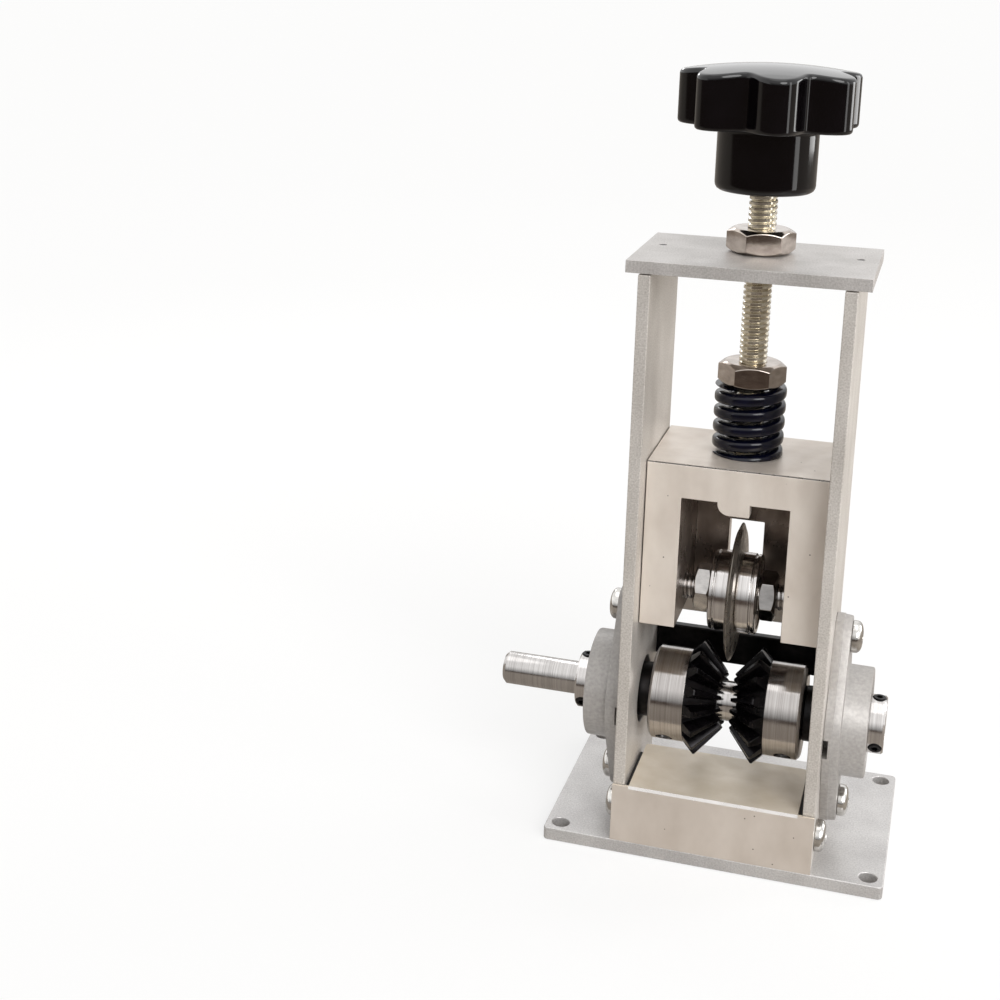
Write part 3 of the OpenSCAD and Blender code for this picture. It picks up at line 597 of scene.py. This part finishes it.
def threadPiece(name, node, body, material, place, radius, pitch, length, steps=28):
    # One turn of the thread's profile is spun up the rod as a right-hand screw
    root = radius - pitch * 0.42
    turnsNeeded = math.ceil(length / pitch) + 2
    profile = [(0, root), (0.2, radius - 0.08), (0.28, radius), (0.68, radius), (0.76, radius - 0.08),
               (0.96, root), (1, root)]
    bm = bmesh.new()
    line = [bm.verts.new((r, 0, z * pitch - pitch)) for z, r in profile]
    edges = [bm.edges.new(pair) for pair in zip(line, line[1:])]
    bmesh.ops.spin(bm, geom=line + edges, cent=(0, 0, 0), axis=(0, 0, 1), dvec=(0, 0, pitch / steps),
                   angle=2 * math.pi * turnsNeeded, steps=steps * turnsNeeded, use_merge=False,
                   use_duplicate=False)
    bmesh.ops.remove_doubles(bm, verts=bm.verts, dist=0.002)
    for height, outward in ((0, -1), (length, 1)):
        bmesh.ops.bisect_plane(bm, geom=list(bm.verts) + list(bm.edges) + list(bm.faces), dist=tiny,
                               plane_co=(0, 0, height), plane_no=(0, 0, outward), clear_outer=True)
        rim = [e for e in bm.edges if e.is_boundary and all(abs(v.co.z - height) < 0.01 for v in e.verts)]
        bmesh.ops.contextual_create(bm, geom=rim)
    bmesh.ops.transform(bm, matrix=place, verts=bm.verts)
    finishPiece(name, bm, body, material, [node], 0, 30)


thread = {"rodRadius": 3.98, "rodPitch": 1.6, "axleRadius": 3.95, "axlePitch": 1.25}
low, high = nodeBox("hand_screw")
threadPiece("threadedRod", "hand_screw", "screw", threadFinish, onScrewAxis(low.z),
            thread["rodRadius"], thread["rodPitch"], high.z - low.z)
low, high = nodeBox("blade_axle")
threadPiece("bladeAxle", "blade_axle", "blade_block", shaftFinish,
            facingX((low.x, bladeAxis.y, bladeAxis.z)), thread["axleRadius"], thread["axlePitch"],
            high.x - low.x)

low, high = nodeBox("axle_nuts")
stackX = nodeBox("right_roller")[1].x
bm = bmesh.new()
for x, turn in ((low.x, 54), (stackX, 13)):
    chamferedNut(bm, facingX((x, bladeAxis.y, bladeAxis.z), turn), nuts["small"], high.x - stackX,
                 nuts["axleBore"])
finishPiece("axleNuts", bm, "blade_block", axleNutFinish, ["axle_nuts"], 0.14, 24)
print("nuts and threads ready")


# Pressure spring of nearly square section at one pitch, its end turns ground flat

spring = {"turns": 5.11, "pitch": 4.5, "start": -159, "wide": 4.4, "tall": 3.4, "squareness": 3.2,
          "stepsPerTurn": 64, "sides": 32}


def springPiece():
    low, high = nodeBox("pressure_spring")
    wide, tall, turns, height = spring["wide"], spring["tall"], spring["turns"], high.z - low.z
    middle = (high.x - low.x - wide) / 2
    sunk = (height - turns * spring["pitch"]) / 2
    bm = bmesh.new()
    section = []
    for i in range(spring["sides"]):
        a = 2 * math.pi * i / spring["sides"]
        across, up = (math.copysign(abs(part) ** (2 / spring["squareness"]), part)
                      for part in (math.cos(a), math.sin(a)))
        section.append(bm.verts.new((middle + across * wide / 2, 0, sunk + up * tall / 2)))
    edges = [bm.edges.new(pair) for pair in zip(section, section[1:] + section[:1])]
    steps = round(turns * spring["stepsPerTurn"])
    bmesh.ops.spin(bm, geom=section + edges, cent=(0, 0, 0), axis=(0, 0, 1), angle=2 * math.pi * turns,
                   dvec=(0, 0, spring["pitch"] * turns / steps), steps=steps, use_merge=False,
                   use_duplicate=False)
    bmesh.ops.holes_fill(bm, edges=[e for e in bm.edges if e.is_boundary], sides=0)
    for vert in bm.verts:
        vert.co.z = min(max(vert.co.z, 0), height)
    bmesh.ops.remove_doubles(bm, verts=bm.verts, dist=0.001)
    bmesh.ops.transform(bm, matrix=onScrewAxis(low.z, spring["start"]), verts=bm.verts)
    made = finishPiece("pressureSpring", bm, "spring_seat", lacquerFinish, ["pressure_spring"],
                       0, 50)
    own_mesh(made)


springPiece()
print("spring ready")


# Star knob

# Rounding is how far each ring of a rim lies from its flat face and how far it is drawn in
knob = {"lobes": 7, "radius": 25.6, "swing": 3.1, "turn": -78, "hubRadius": 14.0, "hubHeight": 17.8,
        "sideHeight": 14.8, "edge": 1.1, "columns": 168,
        "rounding": ((0.0, 1.0), (0.08, 0.6), (0.3, 0.28), (0.62, 0.08), (1.0, 0.0), (1.3, 0.0))}


def starRing(heightAt, shrink=0.0, share=1.0, blend=1.0):
    # The star outline drawn in by shrink, or scaled down and blended towards a circle
    radii = []
    for i in range(knob["columns"]):
        wave = math.cos(knob["lobes"] * (2 * math.pi * i / knob["columns"] - math.radians(knob["turn"])))
        wave = wave + 0.15 * (1 - wave * wave)
        radii.append((knob["radius"] - knob["swing"] + knob["swing"] * wave * blend) * share - shrink)
    return ringOf(radii, [heightAt(r) for r in radii])


def starKnobPiece():
    low, high = nodeBox("star_knob")
    hub, head, edge = knob["hubRadius"], knob["hubHeight"], knob["edge"]
    top = high.z - low.z

    def crown(r):
        return top - (top - head - knob["sideHeight"]) * (r / knob["radius"]) ** 2

    rings = [roundRing(r, z, knob["columns"]) for r, z in (
        (4.3, 1.2), (4.3, 0.4), (4.7, 0.0), (hub - 2.2, 0.0), (hub - 1.2, 0.15), (hub - 0.5, 0.6),
        (hub - 0.12, 1.3), (hub, 2.1), (hub, 2.6), (hub, head - 1.4), (hub, head - 1.0),
        (hub + 0.25, head - 0.35), (hub + 1.0, head))]
    for lift, shrink in knob["rounding"]:
        rings.append(starRing(lambda r: head + 0.02 + lift * edge, shrink * edge))
    for lift, shrink in reversed(knob["rounding"]):
        rings.append(starRing(lambda r: crown(r) - lift * edge, shrink * edge))
    for share in (0.92, 0.84, 0.76, 0.68, 0.6, 0.5, 0.4, 0.3, 0.2, 0.1, 0.04):
        rings.append(starRing(crown, 0.0, share, min(1.0, (share / 0.9) ** 0.7)))
    bm = bmesh.new()
    stackRings(bm, rings, onScrewAxis(low.z))
    finishPiece("starKnob", bm, "screw", phenolicFinish, ["star_knob"], 0, 42)


starKnobPiece()
print("knob ready")


# Feed wheels: bevel teeth on a cone, with a turned hub

# Reaches are the distances along the axis from the cone's tip to the teeth's back end
wheel = {"teeth": 16, "rootAtBack": 14.23, "tipAtBack": 17.41, "rootReach": 17.77, "tipReach": 14.59,
         "front": 0.5, "hubRadius": 14.1, "hubLength": 10.8, "bore": 6.02, "turn": 5,
         "screwTurn": 140, "screwHole": 2.55}
# Each point across a tooth: the share of its height, the share of its width
toothPoints = ((0, 0.0), (0, 0.11), (0, 0.205), (0.72, 0.3), (1, 0.375), (1, 0.625), (0.72, 0.7), (0, 0.795))


def wheelRing(radii, heights, lift=1.0):
    # Radii and heights are each given at the root and at the tip of the teeth
    points = []
    for tooth in range(wheel["teeth"]):
        for up, along in toothPoints:
            angle = 2 * math.pi * (tooth + along) / wheel["teeth"]
            r, z = (root + (tip - root) * up * lift for root, tip in (radii, heights))
            points.append((r * math.cos(angle), r * math.sin(angle), z))
    return points


def outFromShaft(x, turn):
    # Puts a shape made along Z across the feed shaft, turned about it from straight up
    return Matrix.Translation((x, feedAxis.y, feedAxis.z)) @ Matrix.Rotation(math.radians(turn), 4, "X")


def feedWheelPieces(side):
    node = sideNames[side] + "_feed_wheel"
    innerX, outerX = sidedSpan(node, side)
    hubX = outerX - wheel["hubLength"]
    front, r, bore = wheel["front"], wheel["hubRadius"], wheel["bore"]
    apex = innerX - wheel["tipReach"] * front
    frontX = apex + wheel["rootReach"] * front

    def toothRing(s, lift=1.0):
        # S is the size on the cone, 1 at the back end of the teeth
        return wheelRing((wheel["rootAtBack"] * s, wheel["tipAtBack"] * s),
                         (apex + wheel["rootReach"] * s, apex + wheel["tipReach"] * s), lift)

    def plainRing(radius, x):
        return wheelRing((radius, radius), (x, x))

    rings = [plainRing(bore, frontX), plainRing(6.6, frontX), toothRing(front, 0.0), toothRing(front),
             toothRing(front + 0.02)]
    rings += [toothRing(front + (1 - front) * k / 6) for k in range(1, 6)]
    rings += [toothRing(0.985), toothRing(1.0, 0.94), toothRing(1.0, 0.0), plainRing(r - 0.5, hubX + 0.02),
              plainRing(bore, hubX + 0.02)]
    place = facingX(feedAxis, wheel["turn"], side)
    bm = bmesh.new()
    stackRings(bm, rings, place, caps=False, closed=True)
    finishPiece(sideNames[side] + "FeedTeeth", bm, "feed_shaft", gearFinish, [node], 0.1, 28)
    hub = bmesh.new()
    lathe(hub, [(hubX - 0.3, bore), (hubX - 0.3, r - 0.45), (hubX + 0.2, r), (outerX - 1.0, r),
                (outerX - 0.25, r - 0.7), (outerX, r - 1.3), (outerX, bore)], place, 96, closed=True)
    hub = cutOut(hub, addRod, outFromShaft(side * ((hubX + outerX) / 2 + 0.5), wheel["screwTurn"]), 20,
                 wheel["screwHole"], 32)
    finishPiece(sideNames[side] + "FeedHub", hub, "feed_shaft", hubFinish, (), 0.1, 28)


for side in (-1, 1):
    feedWheelPieces(side)
print("feed wheels ready")


# Drive shaft, sleeves, bearings and housings

def turnedPiece(name, node, body, material, place, profile, soften=0.08, steps=96, closed=True):
    bm = bmesh.new()
    lathe(bm, profile, place, steps, closed)
    finishPiece(name, bm, body, material, [node], soften, 28)


shaft = {"radius": 6.0, "driveRadius": 5.0, "bore": 6.02, "sleeve": 8.2}
low, high = nodeBox("drive_shaft")
ringEnd = nodeBox("right_inner_ring")[1].x
r, thin = shaft["radius"], shaft["driveRadius"]
turnedPiece("driveShaft", "drive_shaft", "feed_shaft", shaftFinish, facingX(feedAxis),
            [(low.x, 0), (low.x, thin - 1), (low.x + 1, thin), (-ringEnd - 0.9, thin),
             (-ringEnd - 0.3, thin + 0.3), (-ringEnd, r - 0.3), (-ringEnd + 0.3, r), (high.x - 0.5, r),
             (high.x, r - 0.5), (high.x, 0)], 0, 72, closed=False)
for side, name in sideNames.items():
    low, high = nodeBox(name + "_sleeve")
    bore, r = shaft["bore"], shaft["sleeve"]
    turnedPiece(name + "Sleeve", name + "_sleeve", "feed_shaft", darkSteelFinish,
                facingX(feedAxis), [(low.x, bore), (low.x, r - 0.3), (low.x + 0.3, r), (high.x - 0.3, r),
                                    (high.x, r - 0.3), (high.x, bore)], 0, 72)

innerRing = {"radius": 8.5, "screwInset": 2.25, "screwTurns": (0, 120), "screwHole": 2.05}


def innerRingPiece(side):
    node = sideNames[side] + "_inner_ring"
    near, far = sidedSpan(node, side)
    r, bore = innerRing["radius"], shaft["bore"]
    bm = bmesh.new()
    lathe(bm, [(near, bore), (near, r - 0.3), (near + 0.3, r), (far - 0.5, r), (far, r - 0.5), (far, 6.5),
               (far - 0.4, bore)], facingX(feedAxis, 0, side), 96, closed=True)
    cutters = bmesh.new()
    for turn in innerRing["screwTurns"]:
        addRod(cutters, outFromShaft(side * (far - innerRing["screwInset"]), turn), 12,
               innerRing["screwHole"], 32)
    finishPiece(sideNames[side] + "InnerRing", carve(bm, cutters), "feed_shaft", ringFinish, [node],
                0.08, 28)


def setScrews(name, node, x, turns, length, radius):
    # Socket set screws at both sides of the middle, pointing out from the shaft
    bm = bmesh.new()
    for side in (-1, 1):
        for turn in turns:
            one = bmesh.new()
            lathe(one, [(0, 0), (0, radius - 0.3), (0.3, radius), (length - 0.25, radius),
                        (length, radius - 0.25), (length, 0)], Matrix(), 32)
            socket = [roundRing(radius * 0.52, z, 6) for z in (length - 1.1, length + 1)]
            one = cutOut(one, stackRings, socket, Matrix())
            place = outFromShaft(side * x, turn) @ standing((0, 0, shaft["radius"] + 0.05))
            bmesh.ops.transform(one, matrix=place, verts=one.verts)
            addInto(bm, one)
    finishPiece(name, bm, "feed_shaft", darkSteelFinish, [node], 0, 30)


for side in (-1, 1):
    innerRingPiece(side)
setScrews("ringSetScrews", "ring_set_screws", ringEnd - innerRing["screwInset"], innerRing["screwTurns"],
          2.7, 1.98)
setScrews("hubSetScrews", "hub_set_screws", nodeBox("hub_set_screws")[1].x - 2.5, [wheel["screwTurn"]],
          7.2, 2.45)

housing = {"flange": 4.8, "halfPitch": 26.5, "endRadius": 6.5, "width": 38.0, "boss": 16.3, "length": 12.0,
           "bore": 11.0, "seat": 13.0, "seatDepth": 8.4, "relief": 1.6, "notchUp": 1.5, "columns": 120}


def flangeRadius(angle):
    # Distance to the outline of a middle circle and two end circles with their tangents
    c, s = abs(math.cos(angle)), abs(math.sin(angle))
    reach, end, half = housing["halfPitch"], housing["endRadius"], housing["width"] / 2
    lean = math.acos((half - end) / reach)
    if math.atan2(s, c) < math.atan2(end * math.sin(lean), reach + end * math.cos(lean)):
        return c * reach + math.sqrt(end ** 2 - (reach * s) ** 2)
    return half / math.cos(max(0.0, lean - math.atan2(s, c)))


def housingPiece(side):
    count = housing["columns"]
    face = nodeBox("right_side_plate")[1].x
    front, end = face + housing["flange"], face + housing["length"]
    boss, seat = housing["boss"], housing["seat"]
    outline = [flangeRadius(2 * math.pi * i / count) for i in range(count)]
    rings = [roundRing(housing["bore"], face, count)]
    rings += [ringOf([r - shrink for r in outline], x) for shrink, x in (
        (0.25, face), (0.0, face + 0.3), (0.0, front - 2.4), (0.22, front - 2.3), (0.42, front - 0.35),
        (0.55, front - 0.1), (0.9, front - 0.01))]
    rings += [roundRing(r, x, count) for r, x in (
        (boss + 0.5, front), (boss + 0.15, front + 0.12), (boss, front + 0.45), (boss - 0.05, end - 0.5),
        (boss - 0.2, end - 0.15), (boss - 0.6, end), (seat + 0.5, end), (seat + 0.05, end - 0.4),
        (seat + 0.02, end - housing["seatDepth"] + 0.05), (housing["bore"], end - housing["seatDepth"]))]
    bm = bmesh.new()
    stackRings(bm, rings, Matrix(), caps=False, closed=True)
    cutters = bmesh.new()
    for middle in (-24, 24):
        addBox(cutters, (housing["notchUp"] - 3, middle - 13, face - 1),
               (housing["notchUp"] + 3, middle + 13, face + housing["relief"]))
    bm = carve(bm, cutters)
    bmesh.ops.transform(bm, matrix=facingX(feedAxis, 0, side), verts=bm.verts)
    finishPiece(sideNames[side] + "Housing", bm, "frame", castingFinish, [sideNames[side] + "_housing"],
                0.3, 38)


def bearingPieces(side):
    name = sideNames[side]
    near, far = sidedSpan(name + "_outer_ring", side)
    place = facingX(feedAxis, 0, side)
    bore, r = housing["bore"], housing["seat"]
    turnedPiece(name + "OuterRing", name + "_outer_ring", "frame", ringFinish, place,
                [(near, bore), (near, r - 0.4), (near + 0.4, r), (far - 0.5, r), (far, r - 0.5),
                 (far, bore + 0.4), (far - 0.4, bore)])
    seal = bmesh.new()
    for start, way in ((near + 0.25, -1), (far - 0.25, 1)):
        groove, out = start - way * 0.2, start - way * 0.8
        lathe(seal, [(start, bore - 0.02), (start, 10.3), (groove, 10.0), (groove, 9.1),
                     (start - way * 0.05, 8.9), (start - way * 0.1, 8.6), (out, 8.6), (out, bore - 0.02)],
              place, 96, closed=True)
    finishPiece(name + "Seals", seal, "frame", sealFinish, [name + "_seals"], 0, 40)


for piece in (housingPiece, bearingPieces):
    for side in (-1, 1):
        piece(side)
print("shaft and housings ready")


# Sliding block

def slidingBlockPiece():
    size = {"pocket": 15.3, "roof": 10.2, "wall": 5.0, "drop": 7.6, "slot": 5.2, "slotTop": 94.4,
            "screwHole": 4.15, "axleHole": 4.05, "chamfer": 0.28,
            "lipLeft": -5.1, "lipRight": 4.1, "lipDown": 3.7, "lipDeep": 4.5, "lipRadius": 3.4}
    low, high = nodeBox("sliding_block")
    legs = low.z + size["drop"]
    roof = high.z - size["roof"]
    wallY = high.y - size["wall"]
    bm = bmesh.new()
    addBox(bm, low, high)
    cutters = bmesh.new()
    addBox(cutters, (low.x - 2, low.y - 2, low.z - 2), (high.x + 2, wallY, legs))
    addBox(cutters, (-size["pocket"], low.y - 3, legs - 3), (size["pocket"], wallY, roof))
    bm = carve(bm, cutters)
    bm = cutOut(bm, addBox, (-size["slot"], wallY - 2, low.z - 3),
                (size["slot"], high.y + 3, size["slotTop"]))
    bm = cutOut(bm, addRod, onScrewAxis(roof - 3), 20, size["screwHole"])
    bm = cutOut(bm, addRod, facingX((low.x - 3, bladeAxis.y, bladeAxis.z)), high.x - low.x + 6,
                size["axleHole"])
    bm = cutOut(bm, addEdgeCutter, high.x + 3, size["chamfer"], low.y, high.z)
    for face in bm.faces:
        middle = face.calc_center_median()
        # Faces inside the pocket take the darker finish: painted shade
        inPocket = abs(middle.x) < size["pocket"] + 0.01 and low.y + 0.5 < middle.y < wallY + 0.01
        face.material_index = 1 if inPocket and middle.z < roof + 0.01 else 0
        if middle.z > high.z - 0.5 and middle.y < low.y + 0.5 and face.normal.z > 0.5:
            face.material_index = 2
    finishPiece("slidingBlock", bm, "blade_block", [slidingBlockFinish, pocketShadeFinish, edgeFinish],
                ["sliding_block"], 0.3, 30)
    lip = bmesh.new()
    addBox(lip, (size["lipLeft"], low.y, roof - size["lipDown"]),
           (size["lipRight"], low.y + size["lipDeep"], roof + 0.5))
    corner = [e for e in lip.edges if all(v.co.x < 0 and v.co.z < roof - 1 for v in e.verts)
              and abs(e.verts[0].co.y - e.verts[1].co.y) > 1]
    bmesh.ops.bevel(lip, geom=corner, offset=size["lipRadius"], affect="EDGES", segments=10, profile=0.5,
                    material=-1)
    finishPiece("pocketLip", lip, "blade_block", slidingBlockFinish, (), 0.25, 30)


slidingBlockPiece()
print("sliding block ready")


# Blade and its rollers

roller = {"blade": 6.1, "bore": 4.02, "race": 6.0, "shield": 9.96, "grooveInset": 1.8}


def rollerPieces():
    bladeLow, bladeHigh = nodeBox("blade")
    half = (bladeHigh.x - bladeLow.x) / 2
    radius = (bladeHigh.z - bladeLow.z) / 2
    blade = bmesh.new()
    lathe(blade, [(-half, roller["blade"]), (-half, radius - 2.3), (-half + 0.05, radius - 1.9),
                  (-0.06, radius), (0.06, radius), (half - 0.05, radius - 1.9), (half, radius - 2.3),
                  (half, roller["blade"])], facingX(bladeAxis), 128, closed=True)
    finishPiece("roundBlade", blade, "blade_roller", bladeFinish, ["blade"], 0, 12)
    shield = bmesh.new()
    for side, name in sideNames.items():
        low, high = nodeBox(name + "_roller")
        near, far = sidedSpan(name + "_roller", side)
        r, groove = (high.z - low.z) / 2, far - roller["grooveInset"]
        place = facingX(bladeAxis, 0, side)
        turnedPiece(name + "Roller", name + "_roller", "blade_roller", ringFinish, place,
                    [(near, r - 2), (near, r - 0.4), (near + 0.4, r), (groove - 0.12, r), (groove, r - 0.15),
                     (groove, r - 0.7), (groove + 0.5, r - 0.7), (groove + 0.5, r - 0.3),
                     (groove + 0.62, r - 0.15), (far - 0.35, r - 0.15), (far, r - 0.5), (far, r - 1.7),
                     (far - 0.3, r - 2)], steps=112)
        bore, race = roller["bore"], roller["race"]
        turnedPiece(name + "Race", name + "_race", "blade_block", ringFinish, place,
                    [(near, bore), (near, race - 0.2), (near + 0.2, race), (far - 0.3, race),
                     (far, race - 0.3), (far, 4.4), (far - 0.3, bore)], 0, 64)
        for start, way in ((half + 0.3, -1), (stackX - 0.3, 1)):
            back, step = start - way * 0.4, start - way * 0.15
            lathe(shield, [(start, roller["shield"]), (start, 9.3), (step, 9.0), (step, 6.6), (start, 6.15),
                           (back, 6.15), (back, roller["shield"])], place, 96, closed=True)
    finishPiece("rollerShields", shield, "blade_roller", bladeFinish, ["roller_shields"],
                0, 40)


rollerPieces()

# Inner pieces that are only just in view keep their own shape
for node, material in (("base_screws", screwFinish), ("rest_pins", darkSteelFinish),
                       ("left_balls", ringFinish), ("right_balls", ringFinish),
                       ("roller_balls", ringFinish), ("knob_insert", brassFinish),
                       ("axle_spacer", ringFinish)):
    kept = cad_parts[node].data
    kept.materials.clear()
    kept.materials.append(material)
print("blade and inner pieces ready")


# Floor, light and camera

# Mirrored zones are (axis, start, end, low, high): brightness along one axis of the reflected direction.
# Softboxes are (place, tip in degrees, size, power); each turns to face the machine.
studio = {"sheetColour": "#f7f6f4", "nearColour": "#a69e95", "benchColour": "#5a4f48", "benchRear": -0.2,
          "benchFront": -0.42, "floorGlow": 0.72,
          "mirrored": ((2, 0.0, 0.5, 0.3, 1.25), (2, 0.86, 0.93, 0.0, 2.0), (0, 0.45, 0.75, 0.0, 1.2),
                       (0, -0.5, -0.75, 0.0, 1.3), (1, 0.2, 0.6, 0.0, 0.9)),
          "horizon": 0.56, "overhead": 0.72, "overheadFrom": 0.8, "sideways": 0.4,
          "sunPower": 1.8, "sunSpread": 38, "sunTurn": (59, 0, 37),
          "softboxes": (((0.679, -0.169, 0.31), 90, (0.14, 0.6), 0.7),
                        ((-0.36, 0.51, 0.43), 65, (0.2, 0.08), 0.4),
                        ((0.62, 0.43, 0.26), 80, (0.3, 0.3), 1.3),
                        ((-0.13, 1.1, 0.48), 74, (0.6, 0.35), 0.16))}

# A pale paper sheet; reflections see a dark bench in its place in front of the machine
bm = bmesh.new()
bmesh.ops.create_grid(bm, x_segments=1, y_segments=1, size=30.0)
bmesh.ops.translate(bm, vec=(0, 0, cadLow.z - 0.2 * mm), verts=bm.verts)
made = meshObject("floor", bm)
material, tree, shader, where = startMaterial("matPaperSheet", {"Roughness": 1.0,
                                                                "Specular IOR Level": 0.0})
split = addNode(tree, "SeparateXYZ", {}, {0: where})
away = addNode(tree, "MapRange", {"From Min": studio["benchRear"], "From Max": studio["benchFront"]},
               {"Value": split.outputs[1]})
path = addNode(tree, "LightPath")
mirrored = addNode(tree, "Mix", {"data_type": "RGBA", 6: linear(studio["nearColour"]),
                                 7: linear(studio["benchColour"])}, {0: away.outputs[0]})
colour = addNode(tree, "Mix", {"data_type": "RGBA", 6: linear(studio["sheetColour"])},
                 {0: path.outputs["Is Glossy Ray"], 7: mirrored.outputs[2]})
tree.links.new(colour.outputs[2], shader.inputs["Base Color"])
glow = addNode(tree, "Emission", {"Color": (1, 1, 1, 1), "Strength": 1.0})
seen = addNode(tree, "Math", {"operation": "MULTIPLY", 1: studio["floorGlow"]},
               {0: path.outputs["Is Camera Ray"]})
blend = addNode(tree, "MixShader", {}, {0: seen.outputs[0], 1: shader.outputs[0], 2: glow.outputs[0]})
tree.links.new(blend.outputs[0], tree.nodes["Material Output"].inputs["Surface"])
made.data.materials.append(material)

world = bpy.data.worlds.new("studio")
bpy.context.scene.world = world
world.use_nodes = True
tree = world.node_tree
background = tree.nodes["Background"]
where = addNode(tree, "TexCoord").outputs["Generated"]
split = addNode(tree, "SeparateXYZ", {}, {0: where})
# Gloss mirrors a dim room with windows above, a lamp overhead, a bright side and the white backdrop;
# matt surfaces get an even sky, a little brighter on that side
around = None
for axis, start, end, low, high in studio["mirrored"]:
    zone = addNode(tree, "MapRange", {"From Min": start, "From Max": end, "To Min": low, "To Max": high},
                   {"Value": split.outputs[axis]}).outputs[0]
    if around:
        zone = addNode(tree, "Math", {"operation": "MAXIMUM"}, {0: around, 1: zone}).outputs[0]
    around = zone
even = addNode(tree, "MapRange", {"From Min": 0.0, "From Max": studio["overheadFrom"],
                                  "To Min": studio["horizon"], "To Max": studio["overhead"]},
               {"Value": split.outputs[2]})
tilted = addNode(tree, "Math", {"operation": "MULTIPLY_ADD", 1: studio["sideways"]},
                 {0: split.outputs[0], 2: even.outputs[0]})
tilted.use_clamp = True
path = addNode(tree, "LightPath")
matt = addNode(tree, "Mix", {"data_type": "FLOAT"},
               {0: path.outputs["Is Glossy Ray"], 2: tilted.outputs[0], 3: around})
seen = addNode(tree, "Math", {"operation": "MAXIMUM"}, {0: path.outputs["Is Camera Ray"],
                                                       1: path.outputs["Is Transmission Ray"]})
strength = addNode(tree, "Mix", {"data_type": "FLOAT", 3: 1.0}, {0: seen.outputs[0], 2: matt.outputs[0]})
tree.links.new(strength.outputs[0], background.inputs["Strength"])
background.inputs["Color"].default_value = (1, 1, 1, 1)
sun = bpy.data.lights.new("windowLight", "SUN")
sun.energy = studio["sunPower"]
sun.angle = math.radians(studio["sunSpread"])
holder = addObject("windowLight", sun)
holder.rotation_euler = [math.radians(a) for a in studio["sunTurn"]]
for place, tip, size, power in studio["softboxes"]:
    lamp = bpy.data.lights.new("softbox", "AREA")
    lamp.shape = "RECTANGLE"
    lamp.size, lamp.size_y = size
    lamp.energy = power
    holder = addObject("softbox", lamp)
    holder.location = place
    holder.rotation_euler = (math.radians(tip), 0, math.atan2(place[0], -place[1]))
    holder.visible_camera = False

cameraView = {"place": (0.054196, -0.464993, 0.265063), "turn": (75.5495, -1.2912, 17.2678), "lens": 58.8665,
              "shift": (0.031693, -0.146762)}
cameraData = bpy.data.cameras.new("camera")
cameraData.sensor_width = 36.0
cameraData.lens = cameraView["lens"]
cameraData.shift_x, cameraData.shift_y = cameraView["shift"]
cameraData.clip_start = 0.01
cameraData.clip_end = 100.0
cameraObject = addObject("camera", cameraData)
cameraObject.location = cameraView["place"]
cameraObject.rotation_euler = [math.radians(a) for a in cameraView["turn"]]
bpy.context.scene.camera = cameraObject
bpy.context.scene.view_settings.view_transform = "Standard"
print("light and camera ready")
